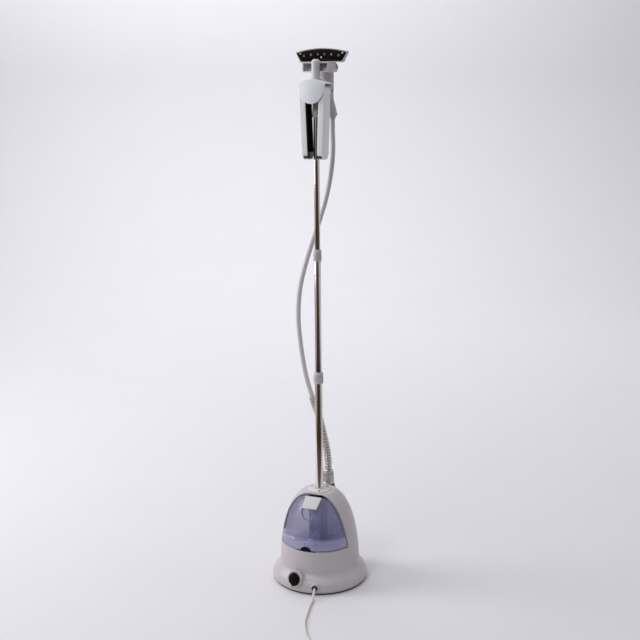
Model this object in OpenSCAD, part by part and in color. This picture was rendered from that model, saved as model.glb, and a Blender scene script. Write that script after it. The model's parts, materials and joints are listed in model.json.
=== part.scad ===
// Upright garment steamer: domed base with a lift-out water tank, telescopic mast,
// folding hanger arms, and a steam head on a flexible hose.
// The origin is the centre of the base on the floor, +Z is up and the front faces -Y.

/* [Base] */
// Radius of the base skirt at its widest
skirt_r = 140; // [138:1:142]
// Radius of the dome just above the skirt
dome_r = 117; // [116:0.5:118]
// Wall thickness of the moulded base parts
wall = 3; // [2.5:0.25:3.5]
// Height of the ledge that the water tank stands on
ledge_z = 120; // [118:1:122]
// Height of the rubber feet under the bottom plate
foot_h = 2; // [2:0.5:3]

/* [Tank] */
// How far the tank skin lies inside the line of the dome
tank_inset = 5; // [3:0.5:7]
// Wall thickness of the tank
tank_wall = 2.5; // [2:0.25:3]

/* [Control knob] */
// Diameter of the control knob
knob_d = 36; // [32:1:38]
// Diameter of the round boss behind the knob
boss_d = 50; // [46:1:54]
// Angle of the knob from the front toward the left
knob_angle = 10.4; // [10:0.2:11]

/* [Mast] */
// Outside diameter of the lower mast tube
lower_d = 22; // [22:0.5:23]
// Outside diameter of the middle mast tube
middle_d = 19; // [18.5:0.5:19]
// Outside diameter of the upper mast tube
upper_d = 16; // [15.5:0.5:16]
// Height of the foot of the lower twist collar
lower_collar_z = 596; // [590:1:600]
// Height of the foot of the upper twist collar
upper_collar_z = 952; // [948:1:956]
// Height of the top end of the upper mast tube
mast_top = 1440; // [1436:1:1444]

/* [Hanger] */
// Height of the pins that the hanger arms turn on
arm_pivot_z = 1425; // [1424:1:1426]
// Length of a hanger arm from its pin to its tip
arm_len = 189; // [180:1:195]
// Thickness of a hanger arm
arm_t = 15.5; // [15:0.5:16.5]

/* [Steam head] */
// Height of the bottom edge of the steam plate
plate_z = 1500; // [1500:0.5:1502]
// Half the width of the steam plate between its two tips
plate_half_w = 74; // [72:0.5:75]
// Radius of the neck below the steam head
neck_r = 20; // [19:0.5:20]

/* [Hose and cord] */
// Outside diameter of the steam hose
hose_d = 14; // [13:0.5:14]
// Outside diameter of the ribbed bend guard at the foot of the hose
guard_d = 22; // [21:0.5:23]
// Diameter of the mains cord
cord_d = 6.5; // [6:0.5:6.5]

/* [Hidden] */
$fn = 96;
hull_fn = 32;
gap = 0.3;
fit = 0.05;
cut = 1;

// Base outline. The dome is a flattened super-ellipse that starts at dome_z.
shell_z = foot_h + 3;
dome_z = 50;
dome_h = 230;
crown_z = 272;
dome_step = 12;
skirt_out = [[-4, 0], [-1, 3], [0, 9], [-0.5, 16], [-3, 24], [-7, 31], [-12, 36.5], [-17, 40]];
skirt_in = [[-8, 0], [-5, 4], [-3.5, 12], [-6.5, 22], [-10.5, 29], [-15, 33.5], [-20, 37]];

function dome_at(z) = dome_r * pow(max(0.001, 1 - pow((z - dome_z) / dome_h, 2)), 0.345);
function dome_points(inset, top) =
    [for (z = [dome_z + 4 : dome_step : top - 2]) [dome_at(z) - inset, z]];
function skirt_points(p, lift) = [for (q = p) [skirt_r + q[0], shell_z + lift + q[1]]];

// Mast sockets and travel
socket_r = 17.5;
socket_top = 262;
tube_t = 1;
lower_foot = 12;
middle_foot = 330;
upper_foot = 680;
collar_h = 33;
lower_top = lower_collar_z + 18;
middle_top = upper_collar_z + 18;

// Tank bay
bay_y = -40;
bay_wall_y = -8;
tank_y = bay_y - 1;
tank_z = ledge_z + 1;
tank_top = 262;
flare_z = 150;
valve_y = -78;
cap_r = 20;
cap_h = 14;

// Hose port on the back of the dome
port_y = 72;
port_r = 21;
port_z = 258;
nipple_r = 7;
nipple_top = 300;
seal_top = 266;
seal_r = 18.5;
nut_top = 311;

// Knob and cord exit, both on the lower front of the base
knob_reach = 139;
knob_z = 42;
knob_tilt = 15;
knob_h = 8;
cord_angle = 15.4;
gland_reach = 142;
gland_z = 23;
gland_boss_r = 13;
lamp_angle = 12;
boss_depth = 40;
gland_boss_depth = 30;

// Hanger and head cradle
arm_x = 28;
arm_front = -33;
arm_back = 16.5;
arm_lean = 2;
pin_r = 3;
cover_half_w = 40;
cover_mid_z = 1440;
cover_rise = 11;
cover_drop = 54;
cover_in_y = -34;
cover_crown_r = 170;
pin_pocket = 2;
cover_front_y = -40;
back_plate_y = 17.5;
post_r = 12;
post_z = 1452;
post_top = 1505;
prong_x = 30;
prong_t = 8;
prong_end = 68;
cradle_z = 1471;
cradle_h = 26;
peg_y = 60;
peg_z = 1484;
peg_r = 4;

// Steam head
face_y = 40;
plate_t = 4;
neck_y = 80;
neck_z = 1447;
handle_z = 1353;
handle_x = 12;
handle_y = 88;
hose_top = 1345;

// Steam hose, from the nipple on the base to the cuff under the handle
hose_route = [[0, 72, 300], [0, 72, 311], [0, 72, 335], [-4, 72, 370], [-14, 70, 420],
    [-27, 67, 474], [-46, 62, 534], [-64, 58, 602], [-77, 54, 690], [-83, 52, 775],
    [-78, 54, 855], [-64, 58, 920], [-45, 63, 985], [-22, 69, 1055], [-3, 75, 1120],
    [10, 81, 1190], [15, 86, 1255], [13, 89, 1312], [13, 89, 1328], [13, 89, 1345]];
guard_last = 6;
lower_last = 9;
middle_last = 15;
hose_sides = 10;
hose_steps = 2;
hose_seam = 0.1;

// Mains cord, from the gland down to the floor and forward to its coil
cord_route = [[38.7, -140.4, 23], [41, -149, 21.5], [42.8, -158, 14.5], [44, -166.5, 7.5],
    [45.8, -177, 3.6], [51, -207, 3.6], [60, -246, 3.6], [66, -272, 3.6], [74, -298, 3.6], [87, -328, 3.6],
    [103, -356, 3.6], [121, -380, 3.6], [133, -396, 3.6], [144, -410.5, 3.6]];
coil_at = [126.5, -457, 0.4];
coil_mid_r = 36;
coil_turns_wide = 3;
coil_turns_high = 2;
plug_at = [196, -472, 13];
plug_turn = -75;

// ---- helpers ----

function catmull(a, b, c, d, t) = 0.5 * (2 * b + (c - a) * t + (2 * a - 5 * b + 4 * c - d) * t * t
    + (3 * b - a - 3 * c + d) * t * t * t);
function route_end(p, n) = let (k = max(0, min(len(p) - 1, n))) p[k];
function smooth_route(p, n) = [
    for (i = [0 : len(p) - 2])
        for (k = [0 : n - 1])
            catmull(route_end(p, i - 1), p[i], p[i + 1], route_end(p, i + 2), k / n),
    p[len(p) - 1]
];
function unit(v) = v / norm(v);
function ring_at(p, i, r, sides, side_dir) =
    let (t = unit(route_end(p, i + 1) - route_end(p, i - 1)))
    let (u = unit(cross(t, side_dir)))
    let (w = cross(t, u))
    [for (k = [0 : sides - 1]) p[i] + r * (cos(360 * k / sides) * u + sin(360 * k / sides) * w)];
function flat_list(l) = [for (a = l) for (b = a) b];

// A round tube along the rings a to b of a route
module tube_along(p, a, b, r, sides, side_dir) {
    rings = flat_list([for (i = [a : b]) ring_at(p, i, r, sides, side_dir)]);
    n = b - a;
    walls = [for (i = [0 : n - 1]) for (k = [0 : sides - 1])
        [i * sides + k, (i + 1) * sides + k, (i + 1) * sides + (k + 1) % sides,
            i * sides + (k + 1) % sides]];
    foot = [[for (k = [0 : sides - 1]) k]];
    head = [[for (k = [0 : sides - 1]) n * sides + sides - 1 - k]];
    polyhedron(rings, concat(walls, foot, head), convexity = 6);
}

// The same with a hole right through it
module sleeve_along(p, a, b, r, hole_r, sides, side_dir) {
    outer = flat_list([for (i = [a : b]) ring_at(p, i, r, sides, side_dir)]);
    inner = flat_list([for (i = [a : b]) ring_at(p, i, hole_r, sides, side_dir)]);
    n = b - a;
    m = (n + 1) * sides;
    outside = [for (i = [0 : n - 1]) for (k = [0 : sides - 1])
        [i * sides + k, (i + 1) * sides + k, (i + 1) * sides + (k + 1) % sides,
            i * sides + (k + 1) % sides]];
    inside = [for (f = outside) [m + f[3], m + f[2], m + f[1], m + f[0]]];
    foot = [for (k = [0 : sides - 1]) [k, (k + 1) % sides, m + (k + 1) % sides, m + k]];
    head = [for (k = [0 : sides - 1]) let (j = n * sides)
        [m + j + k, m + j + (k + 1) % sides, j + (k + 1) % sides, j + k]];
    polyhedron(concat(outer, inner), concat(outside, inside, foot, head), convexity = 6);
}

module ring(r, hole_r, z, h) {
    translate([0, 0, z])
        difference() {
            cylinder(r = r, h = h);
            translate([0, 0, -cut]) cylinder(r = hole_r, h = h + 2 * cut);
        }
}

// Half space in front of the plane y, as a large block
module front_of(y, z0, z1) {
    translate([-200, y - 200, z0]) cube([400, 200, z1 - z0]);
}

module around(n, r, start) {
    for (i = [0 : n - 1]) rotate([0, 0, start + 360 * i / n]) translate([r, 0, 0]) children();
}

// ---- base ----

module base_outer() {
    rotate_extrude()
        polygon(concat([[0, shell_z]], skirt_points(skirt_out, 0), dome_points(0, crown_z),
            [[dome_at(crown_z), crown_z], [0, crown_z]]));
}

module base_inner(clear) {
    top = crown_z - wall;
    rotate_extrude()
        polygon(concat([[0, shell_z - cut], [skirt_r - 8 - clear, shell_z - cut]],
            [for (q = skirt_points(skirt_in, 0)) [q[0] - clear, q[1] - clear]],
            [for (z = [dome_z + 4 : dome_step : top - 14]) [dome_at(z + 2) - wall - clear, z]],
            [[dome_at(top + 1) - wall - clear, top - clear], [0, top - clear]]));
}

// Places a part on the knob's axis, with +Z pointing out of the base
module on_knob_axis() {
    rotate([0, 0, -knob_angle]) translate([0, -knob_reach, knob_z]) rotate([90 - knob_tilt, 0, 0])
        children();
}

module on_cord_axis() {
    rotate([0, 0, cord_angle]) translate([0, -gland_reach, gland_z]) rotate([90, 0, 0]) children();
}

screw_r = 120;
screw_start = 36;
module base_shell() {
    color("lightgray")
        difference() {
            union() {
                difference() {
                    union() {
                        base_outer();
                        on_knob_axis() translate([0, 0, -boss_depth]) cylinder(d = boss_d, h = boss_depth);
                        on_cord_axis() translate([0, 0, -gland_boss_depth])
                            cylinder(r = gland_boss_r, h = gland_boss_depth);
                        translate([0, port_y, 200]) cylinder(r = port_r, h = port_z - 200);
                    }
                    on_knob_axis() cylinder(d = boss_d, h = 30);
                    on_cord_axis() cylinder(r = gland_boss_r - 2, h = 30);
                    translate([0, port_y, port_z]) cylinder(r = seal_r + 1, h = 30);
                    base_inner(0);
                    front_of(bay_y, ledge_z, crown_z + cut);
                }
                intersection() {
                    base_outer();
                    around(6, screw_r, screw_start) translate([0, 0, shell_z])
                        cylinder(r = 5, h = 36);
                }
            }
            around(6, screw_r, screw_start) translate([0, 0, shell_z - cut])
                cylinder(r = 1.8 + fit, h = 16 + cut);
            on_knob_axis() translate([0, 0, -40]) cylinder(r = 5, h = 41);
            on_cord_axis() translate([0, 0, -40]) cylinder(r = 8 + fit, h = 41);
            on_lamp() translate([0, 0, -30]) cylinder(r = 2 + fit, h = 40);
            translate([0, port_y, 190]) cylinder(r = 11, h = 80);
            translate([0, 0, 200]) cylinder(r = socket_r + gap, h = 80);
            around(3, cap_screw_ring, cap_screw_start) translate([0, 0, crown_z - 10])
                cylinder(r = 1.6 + fit, h = 20);
        }
}

module bottom_plate() {
    color("black")
        difference() {
            translate([0, 0, foot_h]) cylinder(r = skirt_r - 5, h = 3);
            around(6, screw_r, screw_start) translate([0, 0, foot_h - cut])
                cylinder(r = 4, h = 1.5 + cut);
            around(6, screw_r, screw_start) translate([0, 0, foot_h - cut]) cylinder(r = 2, h = 6);
        }
}

module foot_pads() {
    color("dimgray")
        around(5, 104, 90) cylinder(r = 11, h = foot_h);
}

module base_screws() {
    color("silver")
        around(6, screw_r, screw_start) {
            translate([0, 0, foot_h]) cylinder(r = 3.6, h = 1.5);
            translate([0, 0, foot_h + 1.5]) cylinder(r = 1.8, h = 15);
        }
}

module bay_liner() {
    color("gainsboro")
        difference() {
            intersection() {
                base_inner(gap);
                union() {
                    front_of(bay_wall_y, ledge_z - wall, ledge_z);
                    difference() {
                        front_of(bay_wall_y, ledge_z - wall, crown_z);
                        front_of(bay_wall_y - wall, ledge_z - 2 * wall, crown_z + cut);
                    }
                }
            }
            cylinder(r = socket_r + gap, h = 300);
            translate([0, valve_y, 100]) cylinder(r = 12 + fit, h = 40);
        }
}

module mast_socket() {
    color("midnightblue")
        difference() {
            union() {
                translate([0, 0, shell_z]) cylinder(r = socket_r, h = socket_top - shell_z);
                translate([0, 0, shell_z]) cylinder(r = 30, h = 4);
            }
            translate([0, 0, lower_foot]) cylinder(r = lower_d / 2 + fit, h = 300);
        }
}

cap_disc_r = 34;
cap_z = crown_z;
cap_screw_ring = 26;
cap_screw_start = 50;
module top_cap() {
    color("whitesmoke")
        difference() {
            union() {
                translate([0, 0, cap_z]) cylinder(r1 = cap_disc_r, r2 = cap_disc_r - 2, h = 2);
                translate([0, 0, cap_z + 2]) cylinder(r1 = cap_disc_r - 2, r2 = 16, h = 3);
                translate([0, 0, socket_top]) cylinder(r = 16, h = cap_z - socket_top + 1);
            }
            translate([0, 0, socket_top - cut]) cylinder(r = lower_d / 2 + fit, h = 20);
            around(3, cap_screw_ring, cap_screw_start) translate([0, 0, cap_z - cut])
                cylinder(r = 1.6 + fit, h = 8);
        }
}

module cap_screws() {
    color("dimgray") {
        around(3, cap_screw_ring, cap_screw_start) translate([0, 0, cap_z - 8]) cylinder(r = 1.6, h = 11);
        around(3, cap_screw_ring, cap_screw_start) translate([0, 0, cap_z + 4]) cylinder(r = 2.4, h = 1);
    }
}

// ---- boiler and plumbing, behind the mast socket and below the tank ----

boiler_y = 64;
boiler_r = 36;
boiler_z = 24;
boiler_h = 58;
inlet_x = 25;
inlet_z = 60;
module boiler_body() {
    color("silver")
        difference() {
            union() {
                translate([0, boiler_y, boiler_z]) cylinder(r = boiler_r, h = boiler_h);
                translate([0, boiler_y, boiler_z + boiler_h - 5]) cylinder(r = boiler_r + 5, h = 5);
                for (a = [90, 210, 330]) translate([0, boiler_y, 0]) rotate([0, 0, a])
                    translate([boiler_r - 4, 0, shell_z]) cylinder(r = 3.5, h = boiler_z - shell_z + 1);
            }
            translate([0, boiler_y, boiler_z + 6]) cylinder(r = boiler_r - 6, h = boiler_h);
            translate([0, boiler_y, boiler_z - cut]) heater_ring(4 + fit);
            translate([inlet_x, 20, inlet_z]) rotate([-90, 0, 0]) cylinder(r = 3, h = 30);
        }
}

module heater_ring(r) {
    rotate_extrude() translate([24, 2.5]) circle(r = r);
}

module heating_element() {
    color("darkgray") {
        intersection() {
            translate([0, boiler_y, boiler_z - cut]) heater_ring(4);
            translate([-60, 0, shell_z + 4]) cube([120, 120, 60]);
        }
    }
}

module boiler_cover() {
    color("gainsboro")
        difference() {
            translate([0, boiler_y, boiler_z + boiler_h]) cylinder(r = boiler_r + 5, h = 6);
            translate([0, port_y, boiler_z + boiler_h - cut]) cylinder(r = 6 + fit, h = 8);
        }
}

module thermal_cutouts() {
    color("ivory")
        for (s = [-1, 1]) translate([s * 20, 52, boiler_z + boiler_h + 6]) {
            cylinder(r = 8, h = 6);
            translate([0, 0, 6]) cylinder(r = 5, h = 4);
        }
}

module steam_pipe() {
    color("gainsboro")
        ring_at_port(6, 4, boiler_z + boiler_h, 225);
}

module ring_at_port(r, hole_r, z0, z1) {
    translate([0, port_y, 0]) ring(r, hole_r, z0, z1 - z0);
}

inlet_route = [[0, valve_y, 104], [0, valve_y, 96], [0, valve_y, 84], [4, -74, 70], [16, -62, 62],
    [28, -44, inlet_z], [33, -20, inlet_z], [32, 4, inlet_z], [27, 20, inlet_z],
    [inlet_x, 32, inlet_z]];
module inlet_pipe() {
    path = smooth_route(inlet_route, 3);
    color("whitesmoke") tube_along(path, 0, len(path) - 1, 4, 10, [0.2, 0.4, 1]);
}

module valve_seat() {
    color("white") {
        difference() {
            union() {
                translate([0, valve_y, ledge_z - 10]) cylinder(r = 12, h = 10);
                translate([0, valve_y, ledge_z - 16]) cylinder(r = 6, h = 7);
            }
            translate([0, valve_y, ledge_z - 7]) cylinder(r = 9.5, h = 8);
            for (a = [45 : 90 : 315]) translate([0, valve_y, ledge_z - 17]) rotate([0, 0, a])
                translate([3.4, 0, 0]) cylinder(r = 1.2, h = 20);
        }
        translate([0, valve_y, ledge_z - 8]) cylinder(r = 2, h = 10.5);
    }
}

// ---- controls and cord exit ----

module on_lamp() {
    rotate([0, 0, -lamp_angle]) translate([0, -118, 62]) rotate([62, 0, 0]) children();
}

module rotary_switch() {
    color("black")
        on_knob_axis() {
            translate([0, 0, -31]) cylinder(r = 4, h = 33);
            translate([-14, -14, -50]) cube([28, 28, 19]);
        }
}

module control_knob() {
    color("black")
        on_knob_axis()
            difference() {
                union() {
                    translate([0, 0, gap]) cylinder(r1 = knob_d / 2, r2 = knob_d / 2 - 1, h = 4);
                    translate([0, 0, 4]) cylinder(r = knob_d / 2 - 5, h = knob_h - 4);
                    translate([-3, -knob_d / 2 + 0.5, 4]) cube([6, knob_d - 1, knob_h - 4]);
                }
                translate([0, 0, -cut]) cylinder(r = 4 + fit, h = 3.5 + cut);
            }
}

module indicator_lamp() {
    color("darkred") on_lamp() translate([0, 0, -9]) cylinder(r = 2, h = 10);
}

module cord_gland() {
    color("black")
        on_cord_axis()
            difference() {
                union() {
                    translate([0, 0, -20]) cylinder(r = 8, h = 20);
                    cylinder(r1 = 8, r2 = 5.5, h = 3.5);
                }
                translate([0, 0, -21]) cylinder(r = 2.5, h = 20);
            }
}

module power_cord() {
    path = smooth_route(cord_route, 2);
    color("ivory") tube_along(path, 0, len(path) - 1, cord_d / 2, 8, [0, 0, 1]);
}

module power_cord_coil() {
    w = coil_turns_wide * cord_d;
    h = coil_turns_high * cord_d;
    color("ivory")
        translate(coil_at) rotate_extrude() translate([coil_mid_r - w / 2, 0]) square([w, h]);
}

module plug_body() {
    color("ivory")
        translate(plug_at) rotate([0, 0, plug_turn]) {
            hull() for (y = [-7, 7]) translate([0, y, -9]) cylinder(r = 4, h = 18, $fn = hull_fn);
            translate([3, -12, -9]) cube([22, 24, 18]);
            translate([-16, 0, 0]) rotate([0, 90, 0]) cylinder(r1 = 4, r2 = 6, h = 14);
        }
}

module plug_pins() {
    color("gold")
        translate(plug_at) rotate([0, 0, plug_turn])
            for (y = [-6.35, 6.35]) translate([25, y - 0.75, -3.2]) cube([17, 1.5, 6.4]);
}

// ---- hose port, coupling and hose ----

module hose_port() {
    color("silver") {
        ring_at_port(10.8, 4, 225, port_z);
        ring_at_port(nipple_r, 4, port_z, nipple_top);
    }
}

module coupling_seal() {
    color("black") ring_at_port(seal_r, 10, port_z, seal_top);
}

module coupling_nut() {
    h = nut_top - seal_top;
    color("silver")
        translate([0, port_y, seal_top + gap / 3])
            difference() {
                union() {
                    cylinder(r1 = 17.5, r2 = 15.5, h = h - gap);
                    for (i = [0 : 17]) rotate([0, 0, 20 * i]) translate([16, 0, 2])
                        cylinder(r = 1.6, h = 26);
                }
                translate([0, 0, -cut]) cylinder(r = nipple_r + fit, h = 60);
                translate([0, 0, nipple_top - seal_top - 10]) cylinder(r = nipple_r + 0.6, h = 60);
            }
}

hose_dir = [0, 1, 0];
function hose_path() = smooth_route(hose_route, hose_steps);

module hose_guard() {
    color("gainsboro")
        sleeve_along(hose_path(), hose_steps, guard_last * hose_steps, guard_d / 2, hose_d / 2 + 0.6,
            hose_sides, hose_dir);
}

module hose_lower() {
    color("silver") tube_along(hose_path(), 0, lower_last * hose_steps, hose_d / 2, hose_sides, hose_dir);
}

// Stops a hair short of the stretch above, so that the two never cross
module hose_middle() {
    last = middle_last * hose_steps;
    whole = hose_path();
    path = [for (i = [0 : len(whole) - 1]) i == last ? whole[i] - [0, 0, hose_seam] : whole[i]];
    color("silver") tube_along(path, lower_last * hose_steps, last, hose_d / 2, hose_sides, hose_dir);
}

module hose_upper() {
    path = hose_path();
    color("silver")
        tube_along(path, middle_last * hose_steps, len(path) - 1, hose_d / 2, hose_sides, hose_dir);
}

// ---- mast ----

module tube(d, z0, z1) {
    ring(d / 2, d / 2 - tube_t, z0, z1 - z0);
}

module lower_tube() {
    color("silver") tube(lower_d, lower_foot, lower_top);
}

module middle_tube() {
    color("silver") tube(middle_d, middle_foot, middle_top);
}

module upper_tube() {
    color("silver")
        difference() {
            tube(upper_d, upper_foot, mast_top);
            button_axis() cylinder(r = 2.5 + fit, h = 20);
        }
}

// A bush that closes the foot of a tube and runs in the bore of the tube around it
module foot_bush(tube_od, bore_d, z) {
    spigot = tube_od / 2 - tube_t;
    translate([0, 0, z - 8])
        difference() {
            union() {
                cylinder(r = bore_d / 2 - fit, h = 8);
                cylinder(r = spigot, h = 24);
            }
            translate([0, 0, -cut]) cylinder(r = spigot - 2, h = 30);
        }
}

module middle_bush() {
    color("dimgray") foot_bush(middle_d, lower_d - 2 * tube_t, middle_foot);
}

module upper_bush() {
    color("dimgray") foot_bush(upper_d, middle_d - 2 * tube_t, upper_foot);
}

module twist_collar(outer_d, top_d, z, below_d, above_d) {
    translate([0, 0, z])
        difference() {
            union() {
                cylinder(r = outer_d / 2, h = collar_h - 5);
                translate([0, 0, collar_h - 5]) cylinder(r1 = outer_d / 2, r2 = top_d / 2, h = 5);
            }
            translate([0, 0, -cut]) cylinder(r = below_d / 2 + fit, h = 18 + gap + cut);
            cylinder(r = above_d / 2 + fit, h = collar_h + cut);
        }
}

module lower_collar() {
    color("lightgray") twist_collar(28, 25, lower_collar_z, lower_d, middle_d);
}

module upper_collar() {
    color("lightgray") twist_collar(23, 20.5, upper_collar_z, middle_d, upper_d);
}

// ---- hanger ----

button_z = 1362;
module button_axis() {
    translate([0, 0, button_z]) rotate([0, 0, 45]) rotate([90, 0, 0]) children();
}

adapter_z = 1350;
hub_z = 1390;
module mast_adapter() {
    color("whitesmoke")
        difference() {
            union() {
                translate([0, 0, adapter_z]) cylinder(r1 = 11, r2 = 9.5, h = hub_z - adapter_z);
                translate([-13, -20, hub_z]) cube([26, back_plate_y + 20, post_z - hub_z]);
            }
            translate([0, 0, adapter_z - cut])
                cylinder(r = upper_d / 2 + fit, h = mast_top - adapter_z + cut);
            button_axis() cylinder(r = 2.5 + fit, h = 20);
        }
}

module adapter_button() {
    color("midnightblue") button_axis() translate([0, 0, 6]) cylinder(r = 2.5, h = 6);
}

function shield_points(half_w, rise, drop) = concat(
    [for (i = [-6 : 6]) [half_w * i / 6, cover_mid_z + rise * (1 - pow(i / 6, 2))]],
    [for (a = [15 : 15 : 165]) [half_w * cos(a), cover_mid_z - drop * sin(a)]]);

module shield(half_w, rise, drop, y0, y1) {
    translate([0, y1, 0]) rotate([90, 0, 0]) linear_extrude(y1 - y0)
        polygon(shield_points(half_w, rise, drop));
}

module pin_holes(r) {
    for (s = [-1, 1]) translate([s * arm_x, 60, arm_pivot_z]) rotate([90, 0, 0]) cylinder(r = r, h = 120);
}

module hanger_front_cover() {
    color("lavender")
        difference() {
            intersection() {
                shield(cover_half_w, cover_rise, cover_drop, cover_front_y, cover_in_y);
                translate([0, cover_front_y + cover_crown_r, 1300])
                    cylinder(r = cover_crown_r, h = 200, $fn = 360);
            }
            for (s = [-1, 1]) translate([s * arm_x, cover_in_y + cut, arm_pivot_z]) rotate([90, 0, 0])
                cylinder(r = pin_r + fit, h = pin_pocket + cut);
        }
}

module hanger_back_cover() {
    color("lavender")
        difference() {
            union() {
                shield(cover_half_w, cover_rise, cover_drop, back_plate_y, back_plate_y + 3);
                difference() {
                    shield(cover_half_w, cover_rise, cover_drop, cover_in_y, back_plate_y);
                    shield(cover_half_w - 2.5, cover_rise - 2.5, cover_drop, cover_in_y - cut,
                        back_plate_y + cut);
                    translate([-60, -60, 1300]) cube([120, 120, cover_mid_z - 1300]);
                    translate([-13 - gap, -20 - gap, 1300]) cube([26 + 2 * gap, 60, 200]);
                }
            }
            pin_holes(pin_r + fit);
        }
}

module arm_pins() {
    color("silver")
        for (s = [-1, 1]) translate([s * arm_x, back_plate_y + 3, arm_pivot_z]) rotate([90, 0, 0])
            cylinder(r = pin_r, h = back_plate_y + 3 - cover_in_y + pin_pocket);
}

// One arm hanging down from its pin, hollow on the side that faces the mast
module hanger_arm(s) {
    tip_z = arm_pivot_z - arm_len;
    depth = arm_back - arm_front;
    difference() {
        union() {
            translate([s * arm_x, arm_back, arm_pivot_z]) rotate([90, 0, 0])
                cylinder(r = arm_t / 2, h = depth);
            translate([s * arm_x - arm_t / 2, arm_front, tip_z + 20])
                cube([arm_t, depth, arm_len - 20]);
            translate([s * arm_x - arm_t / 2, arm_front + 20, tip_z]) cube([arm_t, depth - 40, 30]);
            for (y = [arm_front + 20, arm_back - 20])
                translate([s * arm_x - arm_t / 2, y, tip_z + 20]) rotate([0, 90, 0])
                    cylinder(r = 20, h = arm_t);
        }
        translate([s * (arm_x - 3) - arm_t / 2, arm_front + 3, tip_z + 20])
            cube([arm_t, depth - 6, arm_len - 36]);
        pin_holes(pin_r + fit);
    }
}

module leaning(s) {
    translate([s * arm_x, 0, arm_pivot_z]) rotate([0, s * arm_lean, 0])
        translate([-s * arm_x, 0, -arm_pivot_z]) children();
}

module left_arm() {
    color("lavender") leaning(-1) hanger_arm(-1);
}

module right_arm() {
    color("lavender") leaning(1) hanger_arm(1);
}

module head_cradle() {
    span = prong_x + prong_t;
    color("whitesmoke")
        difference() {
            union() {
                translate([0, 0, post_z]) cylinder(r = post_r, h = post_top - 6 - post_z);
                translate([0, 0, post_top - 6]) cylinder(r1 = post_r, r2 = post_r - 5, h = 6);
                difference() {
                    translate([-span, -4, cradle_z]) cube([2 * span, 22, cradle_h]);
                    translate([3 - span, -4 - cut, cradle_z + 3])
                        cube([2 * span - 6, 20 + cut, cradle_h - 6]);
                }
                for (x = [-span, prong_x]) {
                    translate([x, 10, cradle_z]) cube([prong_t, prong_end - cradle_h / 2 - 10, cradle_h]);
                    translate([x, prong_end - cradle_h / 2, cradle_z + cradle_h / 2]) rotate([0, 90, 0])
                        cylinder(r = cradle_h / 2, h = prong_t);
                }
            }
            translate([-60, peg_y, peg_z]) rotate([0, 90, 0]) cylinder(r = peg_r + fit, h = 120);
            translate([-60, peg_y - peg_r - fit, peg_z]) cube([120, 2 * (peg_r + fit), 30]);
        }
}

// ---- steam head ----

plate_rise = 23;
plate_arch = 10.5;
plate_foot_w = 60;
plate_rim = 2.5;
rim_back = 0.6;
housing_wall = 4;
function face_points(grow) = concat(
    [for (i = [-7 : 7]) [(plate_half_w + grow) * i / 7,
        plate_z + plate_rise + plate_arch * (1 - pow(i / 7, 2)) + grow]],
    [[plate_foot_w + grow, plate_z - grow], [-plate_foot_w - grow, plate_z - grow]]);

module face_slab(grow, y0, y1) {
    translate([0, y1, 0]) rotate([90, 0, 0]) linear_extrude(y1 - y0) polygon(face_points(grow));
}

module head_form(grow) {
    hull() {
        face_slab(plate_rim + grow, face_y + rim_back, face_y + 14);
        translate([0, neck_y + 4, 1516]) rotate([0, 90, 0])
            cylinder(r = 15 + grow, h = 60, center = true, $fn = hull_fn);
    }
}

module head_housing() {
    color("lightgray")
        difference() {
            union() {
                head_form(0);
                translate([0, neck_y, neck_z]) cylinder(r = neck_r, h = 66);
                translate([-41, peg_y, peg_z]) rotate([0, 90, 0]) cylinder(r = peg_r, h = 82);
                translate([-16, peg_y, peg_z - 6]) cube([32, 16, 12]);
            }
            head_form(-housing_wall);
            face_slab(fit, face_y - cut, face_y + plate_t);
            translate([0, neck_y, neck_z - cut]) cylinder(r = neck_r - 3, h = 60);
        }
}

hole_x = [-51, -30, -9.5, 9.5, 30, 51];
hole_rise = 19.3;
module steam_plate() {
    color("black")
        difference() {
            face_slab(0, face_y, face_y + plate_t);
            for (x = hole_x)
                translate([x, face_y - cut, plate_z + hole_rise - 3.6 * pow(x / 51, 2)]) rotate([-90, 0, 0])
                cylinder(r = 2.2, h = plate_t + 2 * cut);
            plate_screw_axes() cylinder(r = 1.5 + fit, h = 20, center = true);
            plate_screw_axes() cylinder(r = 3 + fit, h = 2, center = true);
        }
}

module plate_screw_axes() {
    for (p = [[-62, plate_z + 21], [62, plate_z + 21], [0, plate_z + 10.5]])
        translate([p[0], face_y, p[1]]) rotate([90, 0, 0]) children();
}

module plate_screws() {
    color("silver")
        plate_screw_axes() {
            translate([0, 0, -1]) cylinder(r = 3, h = 1);
            translate([0, 0, -plate_t]) cylinder(r = 1.5, h = plate_t - 1);
        }
}

module handle_form(grow) {
    hull() {
        translate([0, neck_y, neck_z - gap - 2]) cylinder(r = neck_r + grow, h = 2, $fn = 64);
        translate([0, neck_y + 2, 1400]) cylinder(r = 18 + grow, h = 2, $fn = 64);
    }
    hull() {
        translate([0, neck_y + 2, 1400]) cylinder(r = 18 + grow, h = 2, $fn = 64);
        translate([handle_x, handle_y, handle_z]) cylinder(r = 16 + grow, h = 2, $fn = 64);
    }
}

handle_split_y = 83;
button_slot = [26, 14, 22];
button_at = [-8, 56, 1419];
module handle_half(front) {
    difference() {
        intersection() {
            handle_form(0);
            if (front) front_of(handle_split_y, handle_z, neck_z);
            else translate([-200, handle_split_y, handle_z]) cube([400, 200, neck_z - handle_z]);
        }
        translate([0, 0, 3]) handle_form(-2.5);
        translate([handle_x, handle_y, handle_z - cut]) cylinder(r = 8, h = 10);
        translate([0, neck_y, neck_z - 10]) cylinder(r = neck_r - 2.5, h = 20);
    }
}

module handle_front() {
    color("lightgray")
        difference() {
            handle_half(true);
            translate(button_at - [gap, 0, gap]) cube(button_slot + [2 * gap, 10, 2 * gap]);
        }
}

module handle_back() {
    color("lightgray") handle_half(false);
}

module handle_button() {
    color("black") translate(button_at) cube(button_slot);
}

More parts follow.
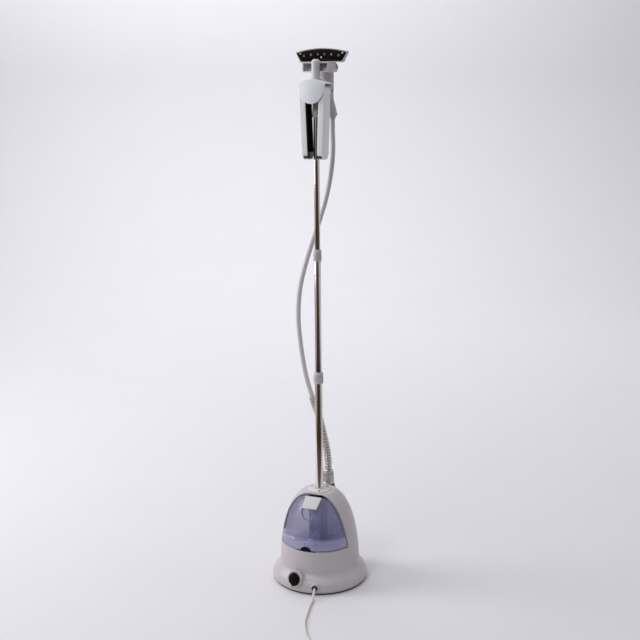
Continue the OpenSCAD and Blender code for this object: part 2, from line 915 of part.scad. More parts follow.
module hose_cuff() {
    color("gray")
        translate([13, 89, hose_top]) {
            difference() {
                union() {
                    cylinder(r1 = 9, r2 = 10.5, h = handle_z - hose_top);
                    translate([-1, -1, 0]) cylinder(r = 7.5, h = 20);
                }
                translate([0, 0, 2]) cylinder(r = 4, h = 30);
            }
        }
}

// ---- water tank ----

function tank_profile(inset, z0, top) = concat([[0, z0]],
    [for (z = [z0 : 8 : flare_z]) [dome_at(z) - inset - 0.3, z]],
    [for (z = [flare_z + 6 : 10 : top]) [dome_at(z) - inset - tank_inset, z]],
    [[dome_at(top + 4) - inset - tank_inset, top + 4 - inset], [0, top + 4 - inset]]);

module tank_solid(inset, z0, y) {
    intersection() {
        rotate_extrude() polygon(tank_profile(inset, z0, tank_top - 4));
        front_of(y, z0, 300);
    }
}

module tank_body() {
    color("mediumpurple", 0.5)
        difference() {
            union() {
                difference() {
                    tank_solid(0, tank_z, tank_y);
                    tank_solid(tank_wall, tank_z + tank_wall, tank_y - tank_wall);
                    pocket(0);
                    handle_recess(0);
                }
                intersection() {
                    difference() {
                        union() {
                            pocket(tank_wall);
                            handle_recess(tank_wall);
                        }
                        pocket(0);
                        handle_recess(0);
                    }
                    tank_solid(0, tank_z, tank_y);
                }
                translate([0, valve_y, tank_z]) cylinder(r = cap_r + 4, h = cap_h + 3);
            }
            translate([0, valve_y, tank_z - cut]) cylinder(r = cap_r + fit, h = cap_h + cut);
            translate([0, valve_y, tank_z - cut]) cylinder(r = cap_r - 6, h = cap_h + 10);
            latch_form(gap);
        }
}

// Finger pocket behind the lower end of the tank handle
module pocket(grow) {
    translate([0, -78, 232]) rotate([52, 0, 0]) translate([0, 0, -10 - grow])
        cylinder(r = 25 + grow, h = 60);
}

latch_r = 18.5;
latch_drop = 4.5;
latch_foot = 2.5;
module latch_form(grow) {
    intersection() {
        translate([0, -100, tank_z - latch_drop]) rotate([90, 0, 0]) cylinder(r = latch_r + grow, h = 30);
        translate([-30, -130, tank_z + latch_foot - grow]) cube([60, 30, latch_r]);
        difference() {
            rotate_extrude() polygon(tank_profile(0, tank_z - cut, tank_top));
            rotate_extrude() polygon(tank_profile(1.2 + grow, tank_z - cut - 1, tank_top));
        }
    }
}

module tank_latch() {
    color("black") latch_form(0);
}

flap_pin = [-48, 263];
flap_end = [-79.5, 242];
flap_t = 6;
flap_w = 52;
flap_end_w = 44;

// A round bar across the tank at p, [y, z]
module bar(p, w, r) {
    translate([-w / 2, p[0], p[1]]) rotate([0, 90, 0]) cylinder(r = r, h = w, $fn = hull_fn);
}

module tank_handle() {
    color("whitesmoke")
        union() {
            hull() {
                bar(flap_pin, flap_w - 4, flap_t / 2);
                bar(flap_end, flap_end_w, flap_t / 2);
            }
            translate([-flap_w / 2, flap_pin[0], flap_pin[1]]) rotate([0, 90, 0])
                cylinder(r = flap_t / 2, h = flap_w);
        }
}

// The space for the handle flap, open upwards and outwards
module handle_recess(grow) {
    side = 2 * (gap + grow);
    hull() {
        bar(flap_pin, flap_w + side, flap_t / 2 + gap + grow);
        bar(flap_end, flap_end_w + side, flap_t / 2 + gap + grow);
        bar(flap_pin + [0, 40], flap_w + side, flap_t / 2 + gap + grow);
        bar(flap_end + [-20, 40], flap_w + side, flap_t / 2 + gap + grow);
    }
}

cage_r = cap_r - 6.5;
cage_floor = 6;
cage_roof = 20;
stem_r = 3;
washer_t = 2;
module tank_cap() {
    color("steelblue")
        translate([0, valve_y, tank_z])
            difference() {
                union() {
                    translate([0, 0, 0.5]) cylinder(r = cap_r, h = 5);
                    translate([0, 0, 5]) cylinder(r = cage_r, h = cage_roof - 3);
                }
                translate([0, 0, -cut]) cylinder(r = 9, h = 3 + cut);
                translate([0, 0, -cut]) cylinder(r = 5, h = 10);
                translate([0, 0, -cut]) cylinder(r = stem_r + fit, h = 30);
                translate([0, 0, cage_floor]) cylinder(r = 9, h = cage_roof - cage_floor);
                for (a = [0, 90]) rotate([0, 0, a]) translate([-15, -3, cage_floor + 5]) cube([30, 6, 6]);
            }
}

module tank_seal() {
    color("dimgray")
        translate([0, valve_y, 0]) ring(cap_r - 1, cage_r + 0.1, tank_z + 5.5, 1.8);
}

module valve_plunger() {
    color("white")
        translate([0, valve_y, tank_z]) {
            translate([0, 0, 2]) cylinder(r = stem_r, h = cage_roof + 2);
            translate([0, 0, cage_floor]) cylinder(r = 7, h = washer_t);
        }
}

module valve_spring() {
    spring_foot = cage_floor + washer_t;
    color("silver")
        translate([0, valve_y, 0]) ring(5, 3.6, tank_z + spring_foot, cage_roof - spring_foot);
}

foot_pads();
bottom_plate();
base_screws();
base_shell();
bay_liner();
mast_socket();
top_cap();
cap_screws();
boiler_body();
boiler_cover();
heating_element();
thermal_cutouts();
inlet_pipe();
steam_pipe();
valve_seat();
rotary_switch();
indicator_lamp();
cord_gland();
power_cord();
power_cord_coil();
plug_body();
plug_pins();
hose_port();
coupling_seal();
lower_tube();
hose_guard();
hose_lower();
control_knob();
tank_body();
tank_cap();
tank_seal();
valve_plunger();
valve_spring();
tank_handle();
tank_latch();
coupling_nut();
lower_collar();
middle_tube();
middle_bush();
hose_middle();
upper_collar();
upper_tube();
upper_bush();
hose_upper();
mast_adapter();
adapter_button();
hanger_front_cover();
hanger_back_cover();
arm_pins();
left_arm();
right_arm();
head_cradle();
head_housing();
steam_plate();
plate_screws();
handle_front();
handle_back();
handle_button();
hose_cuff();
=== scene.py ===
# Upright garment steamer: domed base with a violet water tank, telescopic mast,
# hanger arms, and a steam head on a flexible hose. Metres, origin under the base, front on -Y.
import json
import math
import bpy
import bmesh
from mathutils import Matrix, Vector
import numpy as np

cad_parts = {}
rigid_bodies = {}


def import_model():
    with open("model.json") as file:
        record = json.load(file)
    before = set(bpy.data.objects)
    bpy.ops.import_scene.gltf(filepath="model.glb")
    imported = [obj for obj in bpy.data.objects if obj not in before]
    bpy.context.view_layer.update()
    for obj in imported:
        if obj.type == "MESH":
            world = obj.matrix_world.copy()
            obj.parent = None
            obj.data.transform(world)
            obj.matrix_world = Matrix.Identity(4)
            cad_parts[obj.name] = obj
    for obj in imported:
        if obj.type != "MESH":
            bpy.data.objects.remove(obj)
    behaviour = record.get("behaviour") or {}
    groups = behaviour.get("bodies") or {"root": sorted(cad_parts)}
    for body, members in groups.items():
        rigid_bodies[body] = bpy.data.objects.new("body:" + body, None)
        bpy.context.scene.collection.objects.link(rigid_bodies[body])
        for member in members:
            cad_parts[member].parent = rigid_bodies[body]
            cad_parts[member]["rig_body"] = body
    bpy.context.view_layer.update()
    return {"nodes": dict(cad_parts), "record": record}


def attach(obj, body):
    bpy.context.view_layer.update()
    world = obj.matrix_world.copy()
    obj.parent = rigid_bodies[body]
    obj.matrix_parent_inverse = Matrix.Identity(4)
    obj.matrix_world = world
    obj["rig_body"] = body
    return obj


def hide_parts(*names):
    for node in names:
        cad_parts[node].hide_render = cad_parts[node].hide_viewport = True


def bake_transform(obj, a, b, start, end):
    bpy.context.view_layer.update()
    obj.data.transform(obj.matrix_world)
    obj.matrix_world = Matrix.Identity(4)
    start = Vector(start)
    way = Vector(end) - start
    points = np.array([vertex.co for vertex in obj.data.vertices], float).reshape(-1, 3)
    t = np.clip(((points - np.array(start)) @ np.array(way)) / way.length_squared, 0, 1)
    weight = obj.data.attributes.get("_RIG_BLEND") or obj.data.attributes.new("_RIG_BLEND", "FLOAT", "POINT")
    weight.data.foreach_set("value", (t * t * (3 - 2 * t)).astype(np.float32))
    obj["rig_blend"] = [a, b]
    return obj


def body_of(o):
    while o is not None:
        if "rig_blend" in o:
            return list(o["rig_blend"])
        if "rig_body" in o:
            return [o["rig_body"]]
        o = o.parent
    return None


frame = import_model()
CAD_NODES = frame["nodes"]
MM = 0.001
FULL_TURN = 2 * math.pi

# ---------------------------------------------------------------- camera and light

CAMERA_AZIMUTH = math.radians(22)
CAMERA_PAN = math.radians(-0.1116)
CAMERA_PITCH = math.radians(12.0837)
CAMERA_ROLL = math.radians(-0.4641)
CAMERA_DISTANCE = 2.95
CAMERA_HEIGHT = 1.41367
CAMERA_LENS = 59.49


def set_camera():
    heading = CAMERA_AZIMUTH + CAMERA_PAN
    sp, cp = math.sin(CAMERA_PITCH), math.cos(CAMERA_PITCH)
    sh, ch = math.sin(heading), math.cos(heading)
    forward = Vector((-sh * cp, ch * cp, -sp))
    right = Vector((ch, sh, 0))
    up = Vector((-sh * sp, ch * sp, cp))
    cr, sr = math.cos(CAMERA_ROLL), math.sin(CAMERA_ROLL)
    right, up = right * cr + up * sr, up * cr - right * sr
    data = bpy.data.cameras.new("camera")
    data.lens = CAMERA_LENS
    data.sensor_width = 36
    data.clip_end = 60
    camera = bpy.data.objects.new("camera", data)
    turn = Matrix((right, up, -forward)).transposed().to_4x4()
    place = Matrix.Translation((CAMERA_DISTANCE * math.sin(CAMERA_AZIMUTH),
                                -CAMERA_DISTANCE * math.cos(CAMERA_AZIMUTH), CAMERA_HEIGHT))
    camera.matrix_world = place @ turn
    bpy.context.collection.objects.link(camera)
    bpy.context.scene.camera = camera


def area_light(name, place, aim, size, power, colour):
    data = bpy.data.lights.new(name, "AREA")
    data.shape = "RECTANGLE"
    data.size, data.size_y = size
    data.energy = power
    data.color = colour
    light = bpy.data.objects.new(name, data)
    light.location = place
    light.rotation_mode = "QUATERNION"
    light.rotation_quaternion = (Vector(aim) - Vector(place)).to_track_quat("-Z", "Y")
    bpy.context.collection.objects.link(light)


set_camera()
area_light("key_light", (-3.0, -0.7, 2.3), (0, 0, 0.75), (1.4, 2.6), 68, (1.0, 0.99, 0.975))
area_light("side_light", (2.9, 1.2, 1.7), (0, 0, 0.8), (0.9, 2.6), 4, (0.97, 0.98, 1.0))
area_light("top_light", (-0.3, 0.2, 4.4), (0, 0.2, 0), (3.2, 3.2), 28, (1.0, 1.0, 1.0))
area_light("front_light", (-0.8, -3.2, 3.3), (0, 0, 0.9), (1.6, 0.8), 34, (1.0, 0.99, 0.98))
area_light("wall_light", (-2.3, 2.4, 4.8), (-2.3, 5.6, 2.7), (5.0, 1.2), 195, (1.0, 1.0, 1.0))

# ---------------------------------------------------------------- shader helpers


def socket_input(tree, kind, name, value, low=0.0, high=1.0):
    socket = tree.interface.new_socket(name=name, in_out="INPUT", socket_type=kind)
    socket.default_value = value
    if kind == "NodeSocketFloat":
        socket.min_value, socket.max_value = low, high


def group_tree(name, inputs, outputs):
    tree = bpy.data.node_groups.new(name, "ShaderNodeTree")
    for kind, label, value, high in inputs:
        socket_input(tree, kind, label, value, 0.0, high)
    for kind, label in outputs:
        tree.interface.new_socket(name=label, in_out="OUTPUT", socket_type=kind)
    return tree, tree.nodes.new("NodeGroupInput"), tree.nodes.new("NodeGroupOutput")


def math_node(tree, operation, a, b, clamp=False):
    node = tree.nodes.new("ShaderNodeMath")
    node.operation = operation
    node.use_clamp = clamp
    for socket, value in zip(node.inputs, (a, b)):
        if isinstance(value, (int, float)):
            socket.default_value = value
        else:
            tree.links.new(value, socket)
    return node.outputs[0]


def noise_node(tree, vector, scale, detail, roughness=0.5):
    node = tree.nodes.new("ShaderNodeTexNoise")
    node.inputs["Detail"].default_value = detail
    node.inputs["Roughness"].default_value = roughness
    if isinstance(scale, (int, float)):
        node.inputs["Scale"].default_value = scale
    else:
        tree.links.new(scale, node.inputs["Scale"])
    tree.links.new(vector, node.inputs["Vector"])
    return node.outputs["Fac"]


def ramp(tree, value, low, high):
    node = tree.nodes.new("ShaderNodeMapRange")
    node.inputs["From Min"].default_value = low
    node.inputs["From Max"].default_value = high
    tree.links.new(value, node.inputs["Value"])
    return node.outputs["Result"]


def mix_colour(tree, factor, a, b, blend="MIX"):
    node = tree.nodes.new("ShaderNodeMix")
    node.data_type = "RGBA"
    node.blend_type = blend
    for index, value in ((0, factor), (6, a), (7, b)):
        if isinstance(value, (int, float)):
            node.inputs[index].default_value = value
        elif isinstance(value, tuple):
            node.inputs[index].default_value = (*value, 1.0)
        else:
            tree.links.new(value, node.inputs[index])
    return node.outputs[2]


def moulded_surface_group():
    """Colour drift, fine grain height, fingerprints in the gloss and scuffed edges."""
    tree, inside, out = group_tree(
        "moulded_surface",
        [("NodeSocketVector", "Vector", (0, 0, 0), 1), ("NodeSocketColor", "Colour", (1, 1, 1, 1), 1),
         ("NodeSocketFloat", "Drift", 0.04, 1), ("NodeSocketFloat", "Roughness", 0.4, 1),
         ("NodeSocketFloat", "Smudge", 0.08, 1), ("NodeSocketFloat", "Grain Scale", 1800, 9000),
         ("NodeSocketFloat", "Edge Wear", 0.15, 1)],
        [("NodeSocketColor", "Colour"), ("NodeSocketFloat", "Roughness"), ("NodeSocketFloat", "Height")])
    vector = inside.outputs["Vector"]
    cloud = noise_node(tree, vector, 9, 3)
    drift = math_node(tree, "MULTIPLY", math_node(tree, "SUBTRACT", cloud, 0.5), inside.outputs["Drift"])
    shade = math_node(tree, "ADD", drift, 1.0)
    tint = tree.nodes.new("ShaderNodeVectorMath")
    tint.operation = "SCALE"
    tree.links.new(inside.outputs["Colour"], tint.inputs[0])
    tree.links.new(shade, tint.inputs["Scale"])
    edge = tree.nodes.new("ShaderNodeBevel")
    edge.samples = 4
    edge.inputs["Radius"].default_value = 0.0012
    geometry = tree.nodes.new("ShaderNodeNewGeometry")
    facing = tree.nodes.new("ShaderNodeVectorMath")
    facing.operation = "DOT_PRODUCT"
    tree.links.new(edge.outputs["Normal"], facing.inputs[0])
    tree.links.new(geometry.outputs["Normal"], facing.inputs[1])
    rim = ramp(tree, facing.outputs["Value"], 0.995, 0.80)
    rub = ramp(tree, noise_node(tree, vector, 140, 3), 0.38, 0.66)
    wear = math_node(tree, "MULTIPLY", math_node(tree, "MULTIPLY", rim, rub), inside.outputs["Edge Wear"])
    worn = mix_colour(tree, wear, tint.outputs[0], (0.82, 0.82, 0.83))
    tree.links.new(worn, out.inputs["Colour"])
    smear = math_node(tree, "MULTIPLY", math_node(tree, "SUBTRACT", noise_node(tree, vector, 34, 4, 0.6), 0.5),
                      inside.outputs["Smudge"])
    gloss = math_node(tree, "ADD", inside.outputs["Roughness"], smear)
    gloss = math_node(tree, "ADD", gloss, math_node(tree, "MULTIPLY", wear, 0.3), True)
    tree.links.new(gloss, out.inputs["Roughness"])
    grain = noise_node(tree, vector, inside.outputs["Grain Scale"], 2)
    swell = noise_node(tree, vector, 22, 2)
    height = math_node(tree, "ADD", grain, math_node(tree, "MULTIPLY", swell, 1.2))
    tree.links.new(height, out.inputs["Height"])
    return tree


def brushed_metal_group():
    """Fine turning lines round a part, with a light haze of handling marks."""
    tree, inside, out = group_tree(
        "brushed_metal",
        [("NodeSocketVector", "Vector", (0, 0, 0), 1), ("NodeSocketColor", "Colour", (1, 1, 1, 1), 1),
         ("NodeSocketFloat", "Roughness", 0.15, 1), ("NodeSocketFloat", "Line Scale", 900, 9000),
         ("NodeSocketFloat", "Haze", 0.1, 1)],
        [("NodeSocketColor", "Colour"), ("NodeSocketFloat", "Roughness"), ("NodeSocketFloat", "Height")])
    vector = inside.outputs["Vector"]
    stretch = tree.nodes.new("ShaderNodeMapping")
    stretch.inputs["Scale"].default_value = (0.12, 0.12, 1.0)
    tree.links.new(vector, stretch.inputs["Vector"])
    lines = noise_node(tree, stretch.outputs[0], inside.outputs["Line Scale"], 3)
    haze = noise_node(tree, vector, 26, 4, 0.65)
    spots = ramp(tree, noise_node(tree, vector, 420, 2), 0.66, 0.74)
    gloss = math_node(tree, "MULTIPLY", math_node(tree, "SUBTRACT", haze, 0.42), inside.outputs["Haze"])
    gloss = math_node(tree, "ADD", gloss, inside.outputs["Roughness"])
    gloss = math_node(tree, "ADD", gloss, math_node(tree, "MULTIPLY", spots, 0.12), True)
    tree.links.new(gloss, out.inputs["Roughness"])
    dull = mix_colour(tree, math_node(tree, "MULTIPLY", ramp(tree, haze, 0.5, 0.8), 0.25),
                      inside.outputs["Colour"], (0.55, 0.53, 0.52))
    tree.links.new(dull, out.inputs["Colour"])
    tree.links.new(lines, out.inputs["Height"])
    return tree


MOULDED = moulded_surface_group()
BRUSHED = brushed_metal_group()


def start_material(name):
    material = bpy.data.materials.new(name)
    material.use_nodes = True
    tree = material.node_tree
    shader = tree.nodes["Principled BSDF"]
    place = tree.nodes.new("ShaderNodeTexCoord")
    return material, tree, shader, place.outputs["Object"]


def add_bump(tree, shader, height, depth, strength=1.0):
    bump = tree.nodes.new("ShaderNodeBump")
    bump.inputs["Distance"].default_value = depth
    bump.inputs["Strength"].default_value = strength
    tree.links.new(height, bump.inputs["Height"])
    tree.links.new(bump.outputs["Normal"], shader.inputs["Normal"])


def plastic(name, colour, roughness, grain=1800, depth=0.00002, drift=0.05, smudge=0.1, wear=0.15,
            coat=0.0, specular=0.5):
    material, tree, shader, place = start_material(name)
    skin = tree.nodes.new("ShaderNodeGroup")
    skin.node_tree = MOULDED
    tree.links.new(place, skin.inputs["Vector"])
    skin.inputs["Colour"].default_value = (*colour, 1)
    skin.inputs["Drift"].default_value = drift
    skin.inputs["Roughness"].default_value = roughness
    skin.inputs["Smudge"].default_value = smudge
    skin.inputs["Grain Scale"].default_value = grain
    skin.inputs["Edge Wear"].default_value = wear
    tree.links.new(skin.outputs["Colour"], shader.inputs["Base Color"])
    tree.links.new(skin.outputs["Roughness"], shader.inputs["Roughness"])
    shader.inputs["Coat Weight"].default_value = coat
    shader.inputs["Coat Roughness"].default_value = 0.08
    shader.inputs["Specular IOR Level"].default_value = specular
    add_bump(tree, shader, skin.outputs["Height"], depth)
    return material


def metal(name, colour, roughness, lines=900, depth=0.000008, haze=0.12):
    material, tree, shader, place = start_material(name)
    skin = tree.nodes.new("ShaderNodeGroup")
    skin.node_tree = BRUSHED
    tree.links.new(place, skin.inputs["Vector"])
    skin.inputs["Colour"].default_value = (*colour, 1)
    skin.inputs["Roughness"].default_value = roughness
    skin.inputs["Line Scale"].default_value = lines
    skin.inputs["Haze"].default_value = haze
    tree.links.new(skin.outputs["Colour"], shader.inputs["Base Color"])
    tree.links.new(skin.outputs["Roughness"], shader.inputs["Roughness"])
    shader.inputs["Metallic"].default_value = 1.0
    add_bump(tree, shader, skin.outputs["Height"], depth)
    return material


def within(tree, value, low, high, soft):
    """1 between two values, easing to 0 outside them."""
    return math_node(tree, "MULTIPLY", ramp(tree, value, low - soft, low), ramp(tree, value, high + soft, high))


def pocket_rim(tree, part):
    """Where the tank's skin meets the wall of its round finger pocket."""
    lean = math.radians(POCKET_TILT)
    low = math_node(tree, "MULTIPLY", math_node(tree, "SUBTRACT", part.outputs["Y"], POCKET_Y * MM), math.cos(lean))
    high = math_node(tree, "MULTIPLY", math_node(tree, "SUBTRACT", part.outputs["Z"], POCKET_Z * MM), math.sin(lean))
    off = math_node(tree, "ADD", low, high)
    square = math_node(tree, "ADD", math_node(tree, "MULTIPLY", off, off),
                       math_node(tree, "MULTIPLY", part.outputs["X"], part.outputs["X"]))
    away = math_node(tree, "SQRT", square, 0.0)
    ring = within(tree, away, (POCKET_R - 0.8) * MM, (POCKET_R + 0.8) * MM, 0.0006)
    return math_node(tree, "MULTIPLY", ring, ramp(tree, part.outputs["Y"], -0.055, -0.060))


POCKET_Y, POCKET_Z, POCKET_R, POCKET_TILT = -78, 232, 25, 52


def clear_violet(name):
    """Tinted see-through moulding of the tank, with painted shade: a dark line along its right-hand rear edge and a
    dark band along its foot.
    """
    material, tree, shader, place = start_material(name)
    cloud = noise_node(tree, place, 14, 3)
    part = tree.nodes.new("ShaderNodeSeparateXYZ")
    tree.links.new(place, part.inputs[0])
    tint = mix_colour(tree, cloud, (0.50, 0.47, 0.80), (0.56, 0.53, 0.85))
    # painted shade: a dark navy line down the right-hand rear edge, where the wall is seen edge-on on the shaded
    # side
    right = ramp(tree, part.outputs["X"], 0.0, 0.02)
    rear_edge_shade = math_node(tree, "MULTIPLY", ramp(tree, part.outputs["Y"], -0.0432, -0.0420), right)
    # painted shade: a dark navy band at the foot, standing in for the shadow in the groove above the shell ledge
    foot = ramp(tree, part.outputs["Z"], 0.1245, 0.1225)
    edge = math_node(tree, "MAXIMUM", rear_edge_shade, foot)
    pocket = pocket_rim(tree, part)
    lip = math_node(tree, "MULTIPLY", ramp(tree, part.outputs["Z"], 0.156, 0.146), 0.45)
    tint = mix_colour(tree, lip, tint, (0.66, 0.64, 0.80))
    # mixes in the painted edge and foot shade, which the alpha below also makes more opaque
    tint = mix_colour(tree, edge, tint, (0.035, 0.05, 0.16))
    tree.links.new(mix_colour(tree, pocket, tint, (0.10, 0.13, 0.50)), shader.inputs["Base Color"])
    tree.links.new(ramp_between(tree, noise_node(tree, place, 40, 3), 0.03, 0.12), shader.inputs["Roughness"])
    solid = math_node(tree, "ADD", math_node(tree, "MULTIPLY", edge, 0.5),
                      math_node(tree, "MULTIPLY", lip, 0.5))
    solid = math_node(tree, "ADD", solid, math_node(tree, "MULTIPLY", pocket, 0.45))
    tree.links.new(math_node(tree, "ADD", solid, 0.11, True), shader.inputs["Alpha"])
    shader.inputs["Coat Weight"].default_value = 0.6
    shader.inputs["Coat Roughness"].default_value = 0.03
    add_bump(tree, shader, noise_node(tree, place, 60, 2), 0.0001, 0.4)
    return material


def ramp_between(tree, value, low, high):
    node = tree.nodes.new("ShaderNodeMapRange")
    node.inputs["To Min"].default_value = low
    node.inputs["To Max"].default_value = high
    tree.links.new(value, node.inputs["Value"])
    return node.outputs["Result"]


def lined(material, mask_of, colour):
    """Another colour where a mask made from the object's own coordinates is 1."""
    tree = material.node_tree
    shader = tree.nodes["Principled BSDF"]
    part = tree.nodes.new("ShaderNodeSeparateXYZ")
    tree.links.new(tree.nodes["Texture Coordinate"].outputs["Object"], part.inputs[0])
    plain = shader.inputs["Base Color"].links[0].from_socket
    tree.links.new(mix_colour(tree, mask_of(tree, part), plain, colour), shader.inputs["Base Color"])
    return material


def arm_hollow(tree, part):
    """The inside of a hanger arm, which leans in below its pin."""
    lean = math_node(tree, "MULTIPLY", math_node(tree, "SUBTRACT", ARM_PIN_Z, part.outputs["Z"]), ARM_LEAN)
    across = math_node(tree, "ADD", math_node(tree, "ABSOLUTE", part.outputs["X"], 0.0), lean)
    mask = math_node(tree, "MULTIPLY", within(tree, across, 0.010, 0.0331, 0.0006),
                     within(tree, part.outputs["Y"], -0.0306, 0.0142, 0.0005))
    return math_node(tree, "MULTIPLY", mask, within(tree, part.outputs["Z"], 1.239, 1.4220, 0.0005))


def bay_column(tree, part):
    """The dark bulge of the mast socket in the middle of the bay wall."""
    return within(tree, part.outputs["X"], -0.027, 0.027, 0.005)


ARM_PIN_Z, ARM_LEAN = 1.425, math.tan(math.radians(2))
FINISH = {
    "shell_grey": plastic("shell_grey", (0.51, 0.475, 0.49), 0.36, smudge=0.08, wear=0.1),
    "liner_grey": lined(plastic("liner_grey", (0.84, 0.82, 0.90), 0.5, wear=0.05), bay_column,
                        (0.07, 0.07, 0.15)),
    "white_plastic": plastic("white_plastic", (0.60, 0.59, 0.61), 0.34, wear=0.05),
    "pale_blue": plastic("pale_blue", (0.90, 0.925, 1.0), 0.32, wear=0.05),
    "arm_blue": lined(plastic("arm_blue", (0.90, 0.91, 0.95), 0.34, wear=0.05), arm_hollow,
                      (0.022, 0.017, 0.014)),
    "head_grey": plastic("head_grey", (0.54, 0.50, 0.505), 0.36, wear=0.1),
    "collar_grey": plastic("collar_grey", (0.52, 0.51, 0.54), 0.46, wear=0.15),
    "navy_plastic": plastic("navy_plastic", (0.032, 0.040, 0.115), 0.35, wear=0.05),
    "black_plastic": plastic("black_plastic", (0.004, 0.0035, 0.0035), 0.45, wear=0.02, specular=0.08),
    "black_gloss": plastic("black_gloss", (0.006, 0.005, 0.005), 0.2, depth=0.000004, smudge=0.12,
                           wear=0.02, coat=0.08, specular=0.2),
    "rubber_black": plastic("rubber_black", (0.016, 0.014, 0.015), 0.7, grain=2600, depth=0.00005, wear=0.2),
    "cap_blue": plastic("cap_blue", (0.10, 0.14, 0.42), 0.4),
    "ceramic_white": plastic("ceramic_white", (0.70, 0.69, 0.66), 0.55, wear=0.0),
    "cord_ivory": plastic("cord_ivory", (0.66, 0.63, 0.58), 0.5, wear=0.0),
    "hose_grey": plastic("hose_grey", (0.62, 0.59, 0.60), 0.42, grain=900, wear=0.0),
    "guard_silver": metal("guard_silver", (0.52, 0.49, 0.47), 0.22, lines=500),
    "lamp_red": plastic("lamp_red", (0.10, 0.012, 0.012), 0.25, coat=0.6, wear=0.0),
    "chrome_tube": metal("chrome_tube", (0.80, 0.745, 0.68), 0.09, lines=1600),
    "silver_metal": metal("silver_metal", (0.56, 0.54, 0.53), 0.26),
    "aluminium_cast": metal("aluminium_cast", (0.62, 0.62, 0.63), 0.5, depth=0.00004),
    "brass_pin": metal("brass_pin", (0.80, 0.66, 0.36), 0.22),
    "tank_violet": clear_violet("tank_violet"),
}

SLOT_OF = {part["node"]: part["material_slot"] for part in frame["record"]["subparts"]}

# ---------------------------------------------------------------- mesh helpers


def finish_piece(bm, name, body, slot, nodes=(), smooth_angle=35, clean=True):
    """Turns a bmesh into a shaded piece that rides on a body and stands for CAD nodes."""
    if clean:
        bmesh.ops.remove_doubles(bm, verts=bm.verts[:], dist=0.000002)
        bmesh.ops.recalc_face_normals(bm, faces=bm.faces[:])
    mesh = bpy.data.meshes.new(name)
    bm.to_mesh(mesh)
    bm.free()
    piece = bpy.data.objects.new(name, mesh)
    bpy.context.collection.objects.link(piece)
    mesh.materials.append(FINISH[slot])
    mesh.shade_smooth()
    mesh.set_sharp_from_angle(angle=math.radians(smooth_angle))
    if body:
        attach(piece, body)
    if nodes:
        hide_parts(*nodes)
    return piece


def add_turned(bm, profile, steps=96, turn=None):
    """Spins a closed or open outline of (radius, height) in millimetres round Z."""
    verts = [bm.verts.new((r * MM, 0, z * MM)) for r, z in profile]
    edges = [bm.edges.new(pair) for pair in zip(verts, verts[1:])]
    bmesh.ops.spin(bm, geom=verts + edges, cent=(0, 0, 0), axis=(0, 0, 1), angle=FULL_TURN,
                   steps=steps, use_merge=True)
    bmesh.ops.remove_doubles(bm, verts=bm.verts[:], dist=0.000002)
    if turn is not None:
        bmesh.ops.transform(bm, matrix=turn, verts=bm.verts[:])


def joined(parts):
    """One bmesh out of several."""
    whole = bmesh.new()
    for part in parts:
        mesh = bpy.data.meshes.new("part")
        part.to_mesh(mesh)
        part.free()
        whole.from_mesh(mesh)
        bpy.data.meshes.remove(mesh)
    return whole


def turned(profile, steps=96, turn=None):
    bm = bmesh.new()
    add_turned(bm, profile, steps, turn)
    bmesh.ops.recalc_face_normals(bm, faces=bm.faces[:])
    return bm


def closed(profile):
    return list(profile) + [profile[0]]


def soft_box(size, centre, radius, segments=3, turn=None):
    """A box in millimetres with rounded edges."""
    bm = bmesh.new()
    bmesh.ops.create_cube(bm, size=1)
    bmesh.ops.scale(bm, vec=Vector(size) * MM, verts=bm.verts[:])
    bmesh.ops.bevel(bm, geom=bm.edges[:], offset=radius * MM, offset_type="OFFSET", affect="EDGES",
                    segments=segments, profile=0.5, material=-1, clamp_overlap=True)
    if turn is not None:
        bmesh.ops.transform(bm, matrix=turn, verts=bm.verts[:])
    bmesh.ops.translate(bm, vec=Vector(centre) * MM, verts=bm.verts[:])
    return bm


def softened(node, radius, segments=2, angle=32):
    """A merged copy of a CAD node with its sharp edges rounded."""
    bm = bmesh.new()
    bm.from_mesh(CAD_NODES[node].data)
    bmesh.ops.remove_doubles(bm, verts=bm.verts[:], dist=0.00001)
    bmesh.ops.dissolve_limit(bm, angle_limit=math.radians(0.5), verts=bm.verts[:], edges=bm.edges[:])
    sharp = [e for e in bm.edges if len(e.link_faces) == 2
             and e.calc_face_angle(0) > math.radians(angle)]
    bmesh.ops.bevel(bm, geom=sharp, offset=radius * MM, offset_type="OFFSET", affect="EDGES",
                    segments=segments, profile=0.5, material=-1, clamp_overlap=True)
    return bm


def cad_piece(node, radius, slot=None, segments=2, angle=32, smooth_angle=40, name=None):
    return finish_piece(softened(node, radius, segments, angle), name or node + "_moulding",
                        body_of(CAD_NODES[node])[0], slot or SLOT_OF[node], [node], smooth_angle,
                        clean=False)


def catmull(a, b, c, d, t):
    return 0.5 * (2 * b + (c - a) * t + (2 * a - 5 * b + 4 * c - d) * t * t
                  + (3 * b - a - 3 * c + d) * t * t * t)


def smooth_route(points, steps):
    """The same smooth line through the given points as the CAD source draws."""
    pts = [Vector(p) for p in points]
    line = []
    for i in range(len(pts) - 1):
        a = pts[max(0, i - 1)]
        d = pts[min(len(pts) - 1, i + 2)]
        line += [catmull(a, pts[i], pts[i + 1], d, k / steps) for k in range(steps)]
    return line + [pts[-1]]


def even_route(points, spacing):
    """The line again, with points an even distance apart."""
    lengths = [0.0]
    for a, b in zip(points, points[1:]):
        lengths.append(lengths[-1] + (b - a).length)
    count = max(2, round(lengths[-1] / spacing))
    result, i = [], 0
    for k in range(count + 1):
        s = lengths[-1] * k / count
        while i < len(points) - 2 and lengths[i + 1] < s:
            i += 1
        t = (s - lengths[i]) / (lengths[i + 1] - lengths[i])
        result.append(points[i].lerp(points[i + 1], min(1, max(0, t))))
    return result


def route_length(points):
    return sum((b - a).length for a, b in zip(points, points[1:]))


